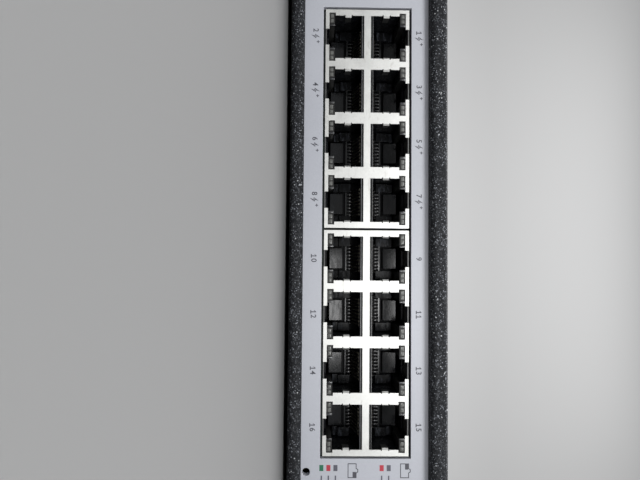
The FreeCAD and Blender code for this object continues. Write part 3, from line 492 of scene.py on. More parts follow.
def satin_moulding(name, gloss, rough, rub):
    """Satin plastic of the sockets, streaked by the mould and rubbed paler by plugs."""
    finish = new_finish(
        name, low=(0.0025, 0.0028, 0.0036), high=(0.006, 0.0066, 0.0082), drift=500, grain=2800,
        rough=(rough, rough * DULL_ROUGH), bump=0.02 * MM, bump_strength=0.2, specular_ior_level=gloss,
    )
    streaks = place_group(finish.node_tree, SCUFFS, scale=520.0, cover=0.5)
    overlay(finish, streaks.outputs["Mask"], roughness=rough * STREAK_ROUGH)
    rubs = place_group(finish.node_tree, SCUFFS, scale=1300.0, cover=0.46)
    overlay(finish, rubs.outputs["Mask"], colour=tinted(rub, RUB_TINT), roughness=rough * RUB_ROUGH)
    return finish


def spring_metal():
    finish = new_finish(
        "spring_metal", low=(0.36, 0.33, 0.27), high=(0.5, 0.47, 0.4), drift=700, grain=3000,
        rough=(0.3, 0.44), bump=0.02 * MM, bump_strength=0.2, metallic=1.0,
    )
    scuffs = place_group(finish.node_tree, SCUFFS, scale=2000.0, cover=0.4)
    overlay(finish, scuffs.outputs["Mask"], colour=(0.56, 0.55, 0.52), roughness=0.5)
    return finish


def lens_body():
    return new_finish(
        "lens_body", low=(0.012, 0.012, 0.0115), high=(0.03, 0.03, 0.0285), drift=600, grain=2200,
        rough=(0.3, 0.45), bump=0.02 * MM, bump_strength=0.2,
    )


def lens_pad():
    return new_finish(
        "lens_pad", low=(0.078, 0.079, 0.074), high=(0.145, 0.147, 0.138), drift=800, grain=2600,
        rough=(0.16, 0.25), bump=0.01 * MM, bump_strength=0.1,
    )


def lens_frame():
    return new_finish(
        "lens_frame", low=(0.012, 0.012, 0.012), high=(0.028, 0.027, 0.026), drift=600, grain=2600,
        rough=(0.5, 0.65), bump=0.02 * MM, bump_strength=0.3, specular_ior_level=0.25,
    )


def ink(name, colour):
    worn = tuple(value * INK_FADE + INK_LIFT for value in colour)
    return new_finish(
        name, low=colour, high=worn, drift=900, grain=3600,
        rough=(0.42, 0.6), bump=0.01 * MM, bump_strength=0.3,
    )


def foot_rubber():
    finish = new_finish(
        "foot_rubber", low=(0.011, 0.011, 0.012), high=(0.024, 0.024, 0.025), drift=160, grain=1400,
        rough=(0.72, 0.9), bump=0.08 * MM, bump_strength=0.4,
    )
    dust = place_group(finish.node_tree, SCUFFS, scale=240.0, cover=0.42)
    overlay(finish, dust.outputs["Mask"], colour=(0.06, 0.058, 0.055), roughness=0.95)
    return finish


def screw_steel():
    finish = new_finish(
        "screw_steel", low=(0.12, 0.12, 0.125), high=(0.2, 0.2, 0.21), drift=500, grain=2600,
        rough=(0.25, 0.42), bump=0.03 * MM, bump_strength=0.25, metallic=1.0,
    )
    scuffs = place_group(finish.node_tree, SCUFFS, scale=1100.0, cover=0.4)
    overlay(finish, scuffs.outputs["Mask"], colour=(0.5, 0.5, 0.5), roughness=0.3)
    return finish


def inlet_moulding():
    finish = new_finish(
        "inlet_moulding", low=(0.01, 0.01, 0.011), high=(0.018, 0.018, 0.02), drift=120, grain=2200,
        rough=(0.28, 0.4), bump=0.04 * MM, bump_strength=0.3,
    )
    rubs = place_group(finish.node_tree, SCUFFS, scale=420.0, cover=0.36)
    overlay(finish, rubs.outputs["Mask"], colour=(0.05, 0.05, 0.052), roughness=0.55)
    return finish


def blade_plating():
    return new_finish(
        "blade_plating", low=(0.62, 0.61, 0.57), high=(0.78, 0.77, 0.73), drift=300, grain=1800,
        rough=(0.18, 0.34), bump=0.02 * MM, bump_strength=0.2, metallic=1.0,
    )


def solder_mask():
    """Dark green board coat over copper runs."""
    finish = new_finish(
        "solder_mask", low=(0.004, 0.012, 0.011), high=(0.007, 0.022, 0.018), drift=60, grain=900,
        rough=(0.26, 0.4), bump=0.04 * MM, bump_strength=0.3, coat_weight=0.2,
    )
    runs = place_group(finish.node_tree, SCUFFS, scale=420.0, cover=0.5)
    overlay(finish, runs.outputs["Mask"], colour=(0.01, 0.045, 0.034))
    return finish


# Finishes of the pieces inside, seen only through the vents: colours, scales of drift and grain, roughness
INNER_FINISHES = {
    "package": ((0.012, 0.012, 0.013), (0.03, 0.03, 0.032), 300, 2000, (0.45, 0.6)),
    "ferrite": ((0.02, 0.02, 0.022), (0.06, 0.06, 0.064), 350, 1500, (0.5, 0.7)),
    "sleeve": ((0.015, 0.02, 0.05), (0.03, 0.04, 0.09), 90, 900, (0.25, 0.4)),
    "winding": ((0.4, 0.2, 0.03), (0.62, 0.36, 0.07), 250, 1300, (0.35, 0.5)),
    "film": ((0.55, 0.5, 0.4), (0.66, 0.62, 0.52), 60, 700, (0.2, 0.35)),
    "boxed_film": ((0.55, 0.38, 0.04), (0.68, 0.5, 0.08), 90, 1200, (0.3, 0.45)),
    "header": ((0.62, 0.58, 0.48), (0.74, 0.71, 0.6), 200, 1400, (0.4, 0.55)),
    "cable": ((0.015, 0.015, 0.017), (0.035, 0.035, 0.04), 120, 1100, (0.5, 0.7)),
    "lamp_resin": ((0.6, 0.62, 0.52), (0.75, 0.77, 0.66), 500, 2200, (0.15, 0.3)),
}
INNER_METALS = {
    "bare_sink": ((0.5, 0.5, 0.52), (0.66, 0.66, 0.68), 90, 1600, (0.3, 0.5)),
    "post_brass": ((0.55, 0.4, 0.14), (0.72, 0.56, 0.24), 200, 1600, (0.25, 0.4)),
}

FINISH = {name: new_finish(name, *looks) for name, looks in INNER_FINISHES.items()}
for name, looks in INNER_METALS.items():
    FINISH[name] = new_finish(name, *looks, metallic=1.0)
for make in (
    powder_coat, panel_paint, plated_sheet, dull_plate, black_moulding, spring_metal, lens_body, lens_pad,
    lens_frame, foot_rubber, screw_steel, inlet_moulding, blade_plating, solder_mask,
):
    FINISH[make.__name__] = make()
for part_name, gloss, rough, rub in (
    ("housing_moulding", 0.15, 0.22, 0.012),
    ("lip_moulding", 1.0, 0.22, 0.03),
    ("stop_moulding", 0.28, 0.12, 0.01),
    ("wing_moulding", 0.15, 0.22, 0.05),
    ("comb_moulding", 0.48, 0.12, 0.01),
):
    FINISH[part_name] = satin_moulding(part_name, gloss, rough, rub)
for colour_name, colour in (
    ("grey_ink", (0.075, 0.075, 0.096)),
    ("dark_ink", (0.05, 0.05, 0.062)),
    ("green_ink", (0.006, 0.108, 0.055)),
    ("red_ink", (0.36, 0.022, 0.04)),
):
    FINISH[colour_name] = ink(colour_name, colour)


# Mesh tools

def block(shape, x, y, z, edge=0.0, material=0):
    """Box between three spans, its edges rounded by the given width; gives back its corners."""
    centre = Vector((sum(x) / 2, sum(y) / 2, sum(z) / 2))
    size = Vector((x[1] - x[0], y[1] - y[0], z[1] - z[0]))
    place = Matrix.Translation(centre) @ Matrix.Diagonal((*size, 1))
    corners = bmesh.ops.create_cube(shape, size=1.0, matrix=place)["verts"]
    for face in {face for corner in corners for face in corner.link_faces}:
        face.material_index = material
    if edge:
        edges = list({line for corner in corners for line in corner.link_edges})
        rounded = bmesh.ops.bevel(
            shape, geom=edges, offset=edge, offset_type="OFFSET", affect="EDGES", segments=EDGE_STEPS,
            profile=0.5, material=-1, clamp_overlap=True,
        )
        corners = rounded["verts"]
    return corners


def span(centre, size):
    return (centre - size / 2, centre + size / 2)


def row_span(row, low, high):
    """Heights in the upper (1) or lower (-1) row of sockets, measured from the centre bar's edge."""
    ends = [PORT_Z + row * (CENTRE_BAR / 2 + rise) for rise in (low, high)]
    return (min(ends), max(ends))


def extend_line(shape, line, move):
    """Pulls a row of edges out into a flat strip; gives back its far edges."""
    region = bmesh.ops.extrude_edge_only(shape, edges=line)["geom"]
    ends = [item for item in region if isinstance(item, bmesh.types.BMVert)]
    bmesh.ops.translate(shape, verts=ends, vec=move)
    return [item for item in region if isinstance(item, bmesh.types.BMEdge)]


def bend_line(shape, line, centre, angle, steps):
    """Turns a row of edges about an axis along X into a bent strip; gives back its far edges."""
    turned = bmesh.ops.spin(
        shape, geom=line, cent=centre, axis=(1, 0, 0), angle=angle, steps=steps, use_merge=False
    )["geom_last"]
    return [item for item in turned if isinstance(item, bmesh.types.BMEdge)]


def mesh_from(shape):
    mesh = bpy.data.meshes.new("shape")
    shape.to_mesh(mesh)
    shape.free()
    return mesh


def new_piece(name, mesh, finishes):
    """Puts a mesh in the scene as a piece of the part."""
    mesh.name = name
    piece = bpy.data.objects.new(name, mesh)
    bpy.context.scene.collection.objects.link(piece)
    for finish in finishes:
        mesh.materials.append(FINISH[finish])
    mesh.shade_smooth()
    mesh.set_sharp_from_angle(angle=SHARP_ANGLE)
    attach(piece, "root")
    return piece


def keep_flats(piece):
    """Keeps flat faces flat in the light beside their rounded edges."""
    flats = piece.modifiers.new("flats", "WEIGHTED_NORMAL")
    flats.keep_sharp = True
    flats.weight = FLAT_WEIGHT


def add_edge_bevel(piece, width):
    bevel = piece.modifiers.new("edges", "BEVEL")
    bevel.width = width
    bevel.segments = EDGE_STEPS
    bevel.limit_method = "ANGLE"
    bevel.angle_limit = ROUNDED_ANGLE
    keep_flats(piece)


def merged_copy(node):
    """Copy of a solid's mesh with its triangles joined into whole faces."""
    shape = bmesh.new()
    shape.from_mesh(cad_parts[node].data)
    bmesh.ops.remove_doubles(shape, verts=shape.verts, dist=MERGE)
    bmesh.ops.dissolve_limit(
        shape, angle_limit=JOINED_ANGLE, verts=shape.verts, edges=shape.edges, delimit={"MATERIAL"}
    )
    return shape


def add_copy(shape, mesh, place):
    """Adds a copy of a mesh at its place; gives back its corners."""
    known = set(shape.verts)
    shape.from_mesh(mesh)
    fresh = [corner for corner in shape.verts if corner not in known]
    bmesh.ops.transform(shape, matrix=place, verts=fresh)
    return fresh


def cut_away(mesh, cutter):
    """Mesh less the cutter's volume."""
    scene = bpy.context.scene
    body = bpy.data.objects.new("body", mesh)
    tool = bpy.data.objects.new("tool", cutter)
    for piece in (body, tool):
        scene.collection.objects.link(piece)
    cut = body.modifiers.new("cut", "BOOLEAN")
    cut.object = tool
    cut.solver = "EXACT"
    bpy.context.view_layer.update()
    result = bpy.data.meshes.new_from_object(body.evaluated_get(bpy.context.evaluated_depsgraph_get()))
    bpy.data.objects.remove(body)
    bpy.data.objects.remove(tool)
    return result


def softened(node, finish, edge):
    """Stands in for a solid with the same form, its sharp edges slightly rounded."""
    piece = new_piece(node + "_skin", mesh_from(merged_copy(node)), [finish])
    add_edge_bevel(piece, edge)
    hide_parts(node)


# Sockets

def finger_slits(block_columns):
    """Cuts on both sides of every spring finger, so that it stands free of the post."""
    shape = bmesh.new()
    for x in block_columns:
        for row in (1, -1):
            for side in (1, -1):
                edge = x + side * PORT_WIDTH / 2
                slit_x = tuple(sorted((edge - side * SLIT_WIDTH, edge + side * SLIT_DEPTH)))
                for end in (1, -1):
                    rise = FINGER_RISE + end * (FINGER_WIDTH + SLIT_WIDTH) / 2
                    slit_z = row_span(row, rise - SLIT_WIDTH / 2, rise + SLIT_WIDTH / 2)
                    block(shape, slit_x, (SHIELD_Y - SLIT_LEAD, HOUSING_Y), slit_z)
    return mesh_from(shape)


def make_shield(side):
    node = "jack_shield_" + side
    mesh = cut_away(mesh_from(merged_copy(node)), finger_slits(BLOCK_COLUMNS[side]))
    # Faces behind the front take the darker plate: painted shade inside the sockets
    for face in mesh.polygons:
        face.material_index = int(face.center.y > SHIELD_Y + PAINTED_SHADE_DEPTH)
    piece = new_piece("socket_shield_" + side, mesh, ["plated_sheet", "dull_plate"])
    add_edge_bevel(piece, SHIELD_BEVEL)
    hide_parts(node)


def make_carrier(column):
    """Insert of one column: combs for the contact tips, plug stops and a wing at each end of a comb."""
    low, high = CARRIER_BOXES[column]
    x = COLUMN_X[column]
    front = CARRIER_Y
    height = CENTRE_BAR + 2 * PORT_HEIGHT - 2 * CARRIER_GAP
    shape = bmesh.new()
    body, stops, wings, comb = range(4)
    block(shape, (low.x, high.x), (front, high.y), span(PORT_Z, height), MOULD_EDGE, body)
    comb_width = CONTACTS * CONTACT_PITCH + 2 * COMB_MARGIN
    comb_top = COMB_RISE + COMB_HEIGHT
    comb_y = (front - COMB_PROUD, front)
    tooth = CONTACT_PITCH - COMB_SLOT
    for row in (1, -1):
        spine_z = row_span(row, comb_top - COMB_SPINE, comb_top)
        block(shape, span(x, comb_width), comb_y, spine_z, COMB_EDGE, comb)
        tooth_z = row_span(row, COMB_RISE, comb_top - COMB_SPINE)
        for index in range(CONTACTS + 1):
            tooth_x = x + (index - CONTACTS / 2) * CONTACT_PITCH
            block(shape, span(tooth_x, tooth), comb_y, tooth_z, COMB_EDGE, comb)
        stop_z = row_span(row, STOP_RISE, PORT_HEIGHT + WINDOW_HEIGHT - STOP_DROP)
        stop_x = span(x, LATCH_WIDTH - 2 * STOP_GAP)
        stop = block(shape, stop_x, (front - STOP_PROUD, high.y), stop_z, MOULD_EDGE, stops)
        for corner in stop:
            if corner.co.y < front:
                corner.co.y -= row * (corner.co.z - sum(stop_z) / 2) * math.tan(STOP_DRAFT)
        for side in (1, -1):
            wing_x = span(x + side * (CAVITY_WIDTH / 2 - WING_INSET - WING_WIDTH / 2), WING_WIDTH)
            wing_top = PORT_HEIGHT - 2 * CARRIER_GAP
            low_wing_z = row_span(row, WING_RISE, wing_top - WING_STEP_DROP)
            high_wing_z = row_span(row, wing_top - WING_STEP_DROP, wing_top)
            block(shape, wing_x, (front - WING_PROUD, front), low_wing_z, MOULD_EDGE, wings)
            block(shape, wing_x, (front - WING_PROUD + WING_STEP, front), high_wing_z, MOULD_EDGE, wings)
    name = f"contact_carrier_{column + 1}"
    finishes = ["black_moulding", "stop_moulding", "wing_moulding", "comb_moulding"]
    piece = new_piece(f"socket_insert_{column + 1}", mesh_from(shape), finishes)
    keep_flats(piece)
    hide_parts(name)


def make_lips(side):
    """Narrow rib along the front edge of the wall that carries the contacts, in every socket."""
    shape = bmesh.new()
    lip_y = (HOUSING_Y - LIP_PROUD, HOUSING_Y + LIP_DEPTH)
    for x in BLOCK_COLUMNS[side]:
        for row in (1, -1):
            lip_z = row_span(row, LIP_RISE, LIP_RISE + LIP_HEIGHT)
            block(shape, span(x, CAVITY_WIDTH), lip_y, lip_z, LIP_PROUD)
    keep_flats(new_piece("socket_lips_" + side, mesh_from(shape), ["lip_moulding"]))


def spring_strip(row):
    """One contact at x = 0: its root lies on the socket wall, and its arm slopes to the comb."""
    front = HOUSING_Y + CONTACT_SETBACK
    tip_y = CARRIER_Y - COMB_PROUD
    low = CENTRE_BAR / 2 + CAVITY_STEP
    slope = math.atan2(CENTRE_BAR / 2 + CONTACT_TIP_RISE - low, tip_y - front - CONTACT_ROOT)
    shape = bmesh.new()
    line = [shape.edges.new([shape.verts.new((x, front, low)) for x in span(0, CONTACT_WIDTH)])]
    line = extend_line(shape, line, (0, CONTACT_ROOT, 0))
    bend_centre = (0, front + CONTACT_ROOT, low + CONTACT_BEND)
    line = bend_line(shape, line, bend_centre, slope, CONTACT_BEND_STEPS)
    reach = tip_y - line[0].verts[0].co.y
    extend_line(shape, line, (0, reach, reach * math.tan(slope)))
    bmesh.ops.remove_doubles(shape, verts=shape.verts, dist=MERGE)
    bmesh.ops.solidify(shape, geom=shape.faces[:], thickness=CONTACT_SHEET)
    bmesh.ops.recalc_face_normals(shape, faces=shape.faces)
    if row < 0:
        bmesh.ops.scale(shape, verts=shape.verts, vec=(1, 1, -1))
        bmesh.ops.reverse_faces(shape, faces=shape.faces)
    bmesh.ops.translate(shape, verts=shape.verts, vec=(0, 0, PORT_Z))
    return mesh_from(shape)


def make_contacts(column, strips):
    shape = bmesh.new()
    for strip in strips:
        for index in range(CONTACTS):
            shift = COLUMN_X[column] + (index - (CONTACTS - 1) / 2) * CONTACT_PITCH
            add_copy(shape, strip, Matrix.Translation((shift, 0, 0)))
    name = f"port_contacts_{column + 1}"
    piece = new_piece(f"socket_springs_{column + 1}", mesh_from(shape), ["spring_metal"])
    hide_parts(name)


def make_lenses(side):
    """Dark rim and two flat pads on the face of every light pipe, and a band at its end by the latch."""
    shape = bmesh.new()
    rim, pad, band = range(3)
    width = (WINDOW_SPAN - LATCH_WIDTH) / 2 - 2 * PIPE_GAP
    rim_y = (PIPE_Y - LENS_FRAME_PROUD, PIPE_Y)
    pad_y = (PIPE_Y - PAD_PROUD, PIPE_Y)
    pad_width = (width - 2 * LENS_FRAME - PAD_GAP) / 2
    for column_x in BLOCK_COLUMNS[side]:
        for row in (1, -1):
            z = row_span(row, PORT_HEIGHT + PIPE_DROP, PORT_HEIGHT + WINDOW_HEIGHT)
            pad_z = (z[0] + LENS_FRAME, z[1] - LENS_FRAME)
            for end in (1, -1):
                middle = column_x + end * (WINDOW_SPAN + LATCH_WIDTH) / 4
                x = span(middle, width)
                block(shape, x, rim_y, (z[0], pad_z[0]), 0, rim)
                block(shape, x, rim_y, (pad_z[1], z[1]), 0, rim)
                block(shape, (x[0], x[0] + LENS_FRAME), rim_y, pad_z, 0, rim)
                block(shape, (x[1] - LENS_FRAME, x[1]), rim_y, pad_z, 0, rim)
                for place in (1, -1):
                    pad_x = span(middle + place * (pad_width + PAD_GAP) / 2, pad_width)
                    block(shape, pad_x, pad_y, pad_z, PAD_EDGE, pad)
                band_x = span(middle - end * ((width + BAND_WIDTH) / 2 + BAND_GAP), BAND_WIDTH)
                block(shape, band_x, (PIPE_Y, PIPE_Y + BAND_DEPTH), z, PAD_EDGE, band)
    finishes = ["lens_frame", "lens_pad", "lip_moulding"]
    keep_flats(new_piece("lamp_lenses_" + side, mesh_from(shape), finishes))


# Print on the front panel

def raise_ink(shape, faces, material):
    """Gives flat print on the panel its thickness."""
    region = bmesh.ops.extrude_face_region(shape, geom=faces)["geom"]
    corners = [item for item in region if isinstance(item, bmesh.types.BMVert)]
    bmesh.ops.translate(shape, verts=corners, vec=(0, -INK, 0))
    for face in {face for corner in corners for face in corner.link_faces}:
        face.material_index = material


def printed_face(shape, x, z, outline):
    corners = [shape.verts.new((x + across, PANEL_Y, z + up)) for across, up in outline]
    face = shape.faces.new(corners)
    face.normal_update()
    return face


def printed_shape(shape, x, z, outline, material):
    raise_ink(shape, [printed_face(shape, x, z, outline)], material)


def printed_line(shape, x, z, outline, line, material):
    """Print along the inside of an outline only."""
    face = printed_face(shape, x, z, outline)
    ring = bmesh.ops.inset_region(
        shape, faces=[face], thickness=line, use_boundary=True, use_even_offset=True
    )["faces"]
    bmesh.ops.delete(shape, geom=[face], context="FACES_ONLY")
    raise_ink(shape, ring, material)


def rectangle(width, height):
    across, up = width / 2, height / 2
    return [(-across, -up), (across, -up), (across, up), (-across, up)]


def one_outline():
    """Upright stroke with a flag at its top left and a bar at its foot."""
    half, top, foot = ONE_STROKE / 2, ONE_HEIGHT / 2, ONE_FOOT / 2
    bar = ONE_STROKE - top
    drop = top - ONE_FLAG
    flag = [(-ONE_FLAG, drop), (-ONE_FLAG, drop - ONE_STROKE), (-half, top - ONE_STROKE)]
    right = [(foot, -top), (foot, bar), (half, bar), (half, top), (-half, top)]
    return right + flag + [(-half, bar), (-foot, bar), (-foot, -top)]


def printed_digit(shape, digit, x, z, material):
    if digit == "1":
        printed_shape(shape, x, z, one_outline(), material)
        return
    curve = bpy.data.curves.new("digit", "FONT")
    curve.body = digit
    curve.size = NUMBER_HEIGHT / FONT_DIGIT_SHARE
    curve.align_x = "CENTER"
    curve.align_y = "CENTER"
    curve.extrude = INK / 2
    curve.offset = DIGIT_SWELL
    curve.resolution_u = DIGIT_STEPS
    holder = bpy.data.objects.new("digit", curve)
    mesh = bpy.data.meshes.new_from_object(holder)
    bpy.data.objects.remove(holder)
    place = Matrix.Translation((x, PANEL_Y - INK / 2, z)) @ Matrix.Rotation(math.pi / 2, 4, "X")
    corners = add_copy(shape, mesh, place)
    for face in {face for corner in corners for face in corner.link_faces}:
        face.material_index = material
    bmesh.ops.remove_doubles(shape, verts=corners, dist=MERGE)


def printed_number(shape, number, x, z, material):
    digits = str(number)
    for index, digit in enumerate(digits):
        printed_digit(shape, digit, x + (index - (len(digits) - 1) / 2) * DIGIT_PITCH, z, material)


def flash_outline():
    """Lightning flash with a slant: FLASH_POINTS are half of it, in shares of half its height."""
    half = FLASH_HEIGHT / 2
    turned = [(-across, -up) for across, up in FLASH_POINTS]
    return [(across * half, up * half) for across, up in (*FLASH_POINTS, *turned)]


def plus_outline():
    reach, half = PLUS_SIZE / 2, PLUS_STROKE / 2
    quarter = [(half, half), (half, reach), (-half, reach)]
    outline = []
    for _ in range(4):
        outline += quarter
        quarter = [(-up, across) for across, up in quarter]
    return outline


def printed_icon(shape, z, lamp_side, material):
    """Outline of a socket with its tab upwards and one filled lamp corner."""
    across, up, tab = ICON_WIDTH / 2, ICON_HEIGHT / 2, ICON_TAB_WIDTH / 2
    top = up + ICON_TAB_HEIGHT
    tip = tab * ICON_TAB_TAPER
    outline = [(-across, -up), (across, -up), (across, up), (tab, up), (tip, top), (-tip, top), (-tab, up)]
    outline.append((-across, up))
    printed_line(shape, ICON_X, z, outline, ICON_LINE, material)
    lamp_x = ICON_X + lamp_side * (across - ICON_LINE - ICON_LAMP_WIDTH / 2)
    lamp_z = z + up - ICON_LINE - ICON_LAMP_HEIGHT / 2
    printed_shape(shape, lamp_x, lamp_z, rectangle(ICON_LAMP_WIDTH, ICON_LAMP_HEIGHT), material)


def make_print():
    inks = ["grey_ink", "dark_ink", "green_ink", "red_ink"]
    grey, dark, green, red = range(len(inks))
    shape = bmesh.new()
    for column, column_x in enumerate(COLUMN_X):
        labels = ((2 * column + 1, UPPER_LABEL_Z, UPPER_MARK_SHIFT), (2 * column + 2, LOWER_LABEL_Z, 0))
        for number, z, shift in labels:
            if column < POWERED_COLUMNS:
                x = column_x + shift
                printed_number(shape, number, x + MARK_NUMBER_SHIFT, z, dark)
                printed_line(shape, x, z, flash_outline(), FLASH_LINE, dark)
                printed_shape(shape, x + MARK_PLUS_SHIFT, z + MARK_PLUS_RISE, plus_outline(), dark)
            else:
                printed_number(shape, number, column_x, z, dark)
    for start, colours in ((LOWER_LEGEND_Z, (green, red, grey)), (UPPER_LEGEND_Z, (red, grey))):
        for index, colour in enumerate(colours):
            z = start + index * LEGEND_PITCH
            printed_shape(shape, LEGEND_X, z, rectangle(SQUARE_WIDTH, SQUARE_HEIGHT), colour)
            printed_shape(shape, DASH_X + DASH_LENGTH / 2, z, rectangle(DASH_LENGTH, DASH_HEIGHT), grey)
    printed_icon(shape, LOWER_ICON_Z, 1, dark)
    printed_icon(shape, UPPER_ICON_Z, -1, dark)
    bmesh.ops.recalc_face_normals(shape, faces=shape.faces)
    new_piece("panel_print", mesh_from(shape), inks)


# Fasteners, feet and inlet blades

def screw_mesh(radius, height, shank_length=0.0):
    """Pan head screw with a cross recess, its head standing on z = 0."""
    shape = bmesh.new()
    place = Matrix.Translation((0, 0, height / 2))
    bmesh.ops.create_cone(
        shape, cap_ends=True, segments=SCREW_SIDES, radius1=radius, radius2=radius, depth=height,
        matrix=place,
    )
    rim = [line for line in shape.edges if all(corner.co.z > height / 2 for corner in line.verts)]
    bmesh.ops.bevel(
        shape, geom=rim, offset=SCREW_EDGE, offset_type="OFFSET", affect="EDGES", segments=SCREW_EDGE_STEPS,
        profile=0.5, material=-1, clamp_overlap=True,
    )
    if shank_length:
        under = [face for face in shape.faces if face.normal.z < -FACING]
        ledge = radius - SHANK_RADIUS
        bmesh.ops.inset_individual(shape, faces=under, thickness=ledge, use_even_offset=True)
        region = bmesh.ops.extrude_face_region(shape, geom=under)["geom"]
        tip = [item for item in region if isinstance(item, bmesh.types.BMVert)]
        bmesh.ops.translate(shape, verts=tip, vec=(0, 0, -shank_length))
        bmesh.ops.delete(shape, geom=under, context="FACES_ONLY")
    mesh = mesh_from(shape)
    for width, depth in ((CROSS_WIDTH, CROSS_SPAN), (CROSS_SPAN, CROSS_WIDTH)):
        bar = bmesh.new()
        block(bar, span(0, width), span(0, depth), (height - CROSS_DEPTH, height + CROSS_DEPTH))
        mesh = cut_away(mesh, mesh_from(bar))
    return mesh


def make_screws(name, screw, places):
    shape = bmesh.new()
    for place in places:
        add_copy(shape, screw, place)
    piece = new_piece(name, mesh_from(shape), ["screw_steel"])
    keep_flats(piece)
    return piece


def make_cover_screws():
    """Screws through the cover's rear flange."""
    low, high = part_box("cover_screws")
    flange_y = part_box("top_cover")[1].y
    radius = (high.z - low.z) / 2
    screw = screw_mesh(radius, high.y - flange_y, flange_y - low.y)
    facing = Matrix.Rotation(-math.pi / 2, 4, "X")
    centres = [(x, flange_y, (low.z + high.z) / 2) for x in (low.x + radius, high.x - radius)]
    piece = make_screws("flange_screws", screw, [Matrix.Translation(centre) @ facing for centre in centres])
    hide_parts("cover_screws")


def make_board_screws():
    """Screw heads on both boards, one over every standoff."""
    posts = merged_copy("standoffs")
    tops = [face.calc_center_median() for face in posts.faces if face.normal.z > FACING]
    posts.free()
    rise = Vector((0, 0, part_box("main_board")[1].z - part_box("main_board")[0].z))
    screw = screw_mesh(BOARD_HEAD_RADIUS, BOARD_HEAD_HEIGHT)
    make_screws("board_screws", screw, [Matrix.Translation(top + rise) for top in tops])


def make_feet():
    """Round rubber feet with an eased edge and a shallow dish."""
    low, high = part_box("rubber_feet")
    base_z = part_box("base_pan")[0].z
    shape = bmesh.new()
    for x in (low.x + FOOT_RADIUS, high.x - FOOT_RADIUS):
        for y in (low.y + FOOT_RADIUS, high.y - FOOT_RADIUS):
            place = Matrix.Translation((x, y, base_z / 2))
            bmesh.ops.create_cone(
                shape, cap_ends=True, segments=FOOT_SIDES, radius1=FOOT_RADIUS, radius2=FOOT_RADIUS,
                depth=base_z, matrix=place,
            )
    under = [face for face in shape.faces if face.normal.z < -FACING]
    bmesh.ops.inset_individual(shape, faces=under, thickness=FOOT_DISH_INSET, use_even_offset=True)
    dish = list({corner for face in under for corner in face.verts})
    bmesh.ops.translate(shape, verts=dish, vec=(0, 0, FOOT_DISH_DEPTH))
    piece = new_piece("foot_pads", mesh_from(shape), ["foot_rubber"])
    add_edge_bevel(piece, FOOT_EDGE)
    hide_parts("rubber_feet")


def make_blades():
    piece = new_piece("inlet_blades", mesh_from(merged_copy("inlet_pins")), ["blade_plating"])
    add_edge_bevel(piece, BLADE_EDGE)
    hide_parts("inlet_pins")


# Build every piece

for node, finish, slot, edge in (
    ("base_pan", "powder_coat", "case", SHEET_EDGE),
    ("top_cover", "powder_coat", "case", SHEET_EDGE),
    ("front_panel", "panel_paint", "panel", PANEL_EDGE),
    ("jack_housing_left", "housing_moulding", "housing", MOULDED_EDGE),
    ("jack_housing_right", "housing_moulding", "housing", MOULDED_EDGE),
    ("mains_inlet", "inlet_moulding", "inlet", MOULD_EDGE),
):
    softened(node, finish, edge)

strips = [spring_strip(row) for row in (1, -1)]
for column in range(COLUMNS):
    make_carrier(column)
    make_contacts(column, strips)
for side in BLOCK_COLUMNS:
    make_shield(side)
    make_lips(side)
    make_lenses(side)
make_print()
make_cover_screws()
make_board_screws()
make_feet()
make_blades()

KEPT_SOLIDS = {
    "light_pipes_left": "lens_body",
    "light_pipes_right": "lens_body",
    "indicator_leds": "lamp_resin",
    "main_board": "solder_mask",
    "supply_board": "solder_mask",
    "standoffs": "post_brass",
    "lan_transformers": "package",
    "switch_chip": "package",
    "chip_heatsink": "bare_sink",
    "poe_controllers": "package",
    "board_inductors": "ferrite",
    "capacitors": "sleeve",
    "insulation_sheet": "film",
    "fuse": "package",
    "filter_capacitor": "boxed_film",
    "filter_choke": "ferrite",
    "rectifier": "package",
    "transformer_core": "ferrite",
    "transformer_winding": "winding",
    "supply_heatsinks": "bare_sink",
    "power_devices": "package",
    "power_headers": "header",
    "power_cable": "cable",
}
for node, finish in KEPT_SOLIDS.items():
    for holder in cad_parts[node].material_slots:
        holder.material = FINISH[finish]


# Stage, light and camera

def stage_finish(name, tone):
    finish = bpy.data.materials.new(name)
    finish.use_nodes = True
    shader = finish.node_tree.nodes["Principled BSDF"]
    shader.inputs["Base Color"].default_value = (tone, tone, tone, 1)
    shader.inputs["Roughness"].default_value = 0.9
    shader.inputs["Specular IOR Level"].default_value = 0.1
    return finish


def glowing_wall():
    """Plain wall that adds a little light of its own where the camera or a reflection sees it."""
    finish = stage_finish("pale_wall", WALL_TONE)
    tree = finish.node_tree
    shader = tree.nodes["Principled BSDF"]
    shader.inputs["Emission Color"].default_value = (1, 1, 1, 1)
    rays = add_node(tree, "ShaderNodeLightPath")
    seen = math_node(tree, "MAXIMUM", rays.outputs["Is Camera Ray"], rays.outputs["Is Glossy Ray"])
    tree.links.new(math_node(tree, "MULTIPLY", seen, WALL_GLOW), shader.inputs["Emission Strength"])
    return finish


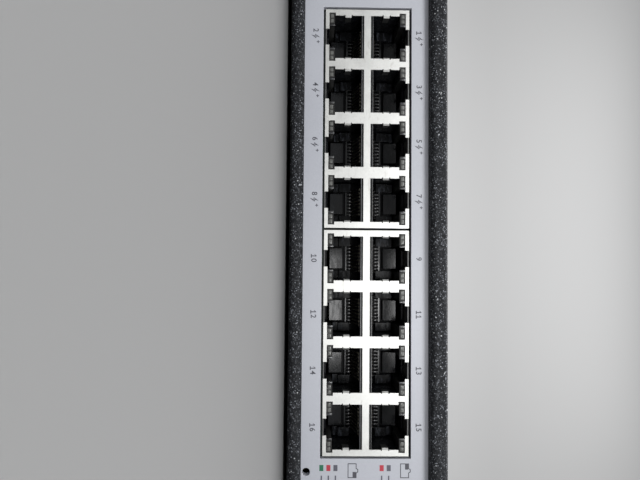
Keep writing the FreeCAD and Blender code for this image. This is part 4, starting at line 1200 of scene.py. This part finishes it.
def make_stage():
    """Floor that rises in a cove to the wall behind."""
    shape = bmesh.new()
    corners = [shape.verts.new((x, FLOOR_FRONT, 0)) for x in (-STAGE_HALF, STAGE_HALF)]
    cove_y = WALL_Y - COVE_RADIUS
    line = extend_line(shape, [shape.edges.new(corners)], (0, cove_y - FLOOR_FRONT, 0))
    line = bend_line(shape, line, (0, cove_y, COVE_RADIUS), math.pi / 2, COVE_STEPS)
    extend_line(shape, line, (0, 0, WALL_HEIGHT))
    bmesh.ops.remove_doubles(shape, verts=shape.verts, dist=MM)
    for face in shape.faces:
        face.material_index = int(face.calc_center_median().z > FLOOR_RISE)
        face.smooth = True
    mesh = mesh_from(shape)
    mesh.materials.append(stage_finish("pale_floor", FLOOR_TONE))
    mesh.materials.append(glowing_wall())
    stage = bpy.data.objects.new("stage", mesh)
    bpy.context.scene.collection.objects.link(stage)


def area_lamp(name, place, target, size, power):
    lamp = bpy.data.lights.new(name, "AREA")
    lamp.shape = "RECTANGLE"
    lamp.size, lamp.size_y = size
    lamp.energy = power
    holder = bpy.data.objects.new(name, lamp)
    holder.location = place
    holder.rotation_euler = (Vector(target) - Vector(place)).to_track_quat("-Z", "Y").to_euler()
    bpy.context.scene.collection.objects.link(holder)


def make_light():
    for name, (place, target, size, power) in LAMPS.items():
        area_lamp(name, place, target, size, power)
    world = bpy.data.worlds.new("studio")
    world.use_nodes = True
    sky = world.node_tree.nodes["Background"]
    sky.inputs["Color"].default_value = (*SKY_COLOUR, 1)
    sky.inputs["Strength"].default_value = SKY_STRENGTH
    bpy.context.scene.world = world


def make_camera():
    lens = bpy.data.cameras.new("camera")
    lens.sensor_width = CAMERA_SENSOR
    lens.lens = CAMERA_LENS
    lens.clip_start = CAMERA_NEAR
    camera = bpy.data.objects.new("camera", lens)
    # The columns are the picture's right, the picture's top and the way back to the viewer
    turned = Matrix(((0, -1, 0), (0, 0, -1), (1, 0, 0)))
    tilt = Matrix.Identity(3)
    for angle, axis in zip(CAMERA_TILT, "XYZ"):
        tilt = tilt @ Matrix.Rotation(angle, 3, axis)
    camera.matrix_world = Matrix.Translation(CAMERA_PLACE) @ (tilt @ turned).to_4x4()
    bpy.context.scene.collection.objects.link(camera)
    bpy.context.scene.camera = camera


make_stage()
make_light()
make_camera()
bpy.context.scene.view_settings.view_transform = "Standard"
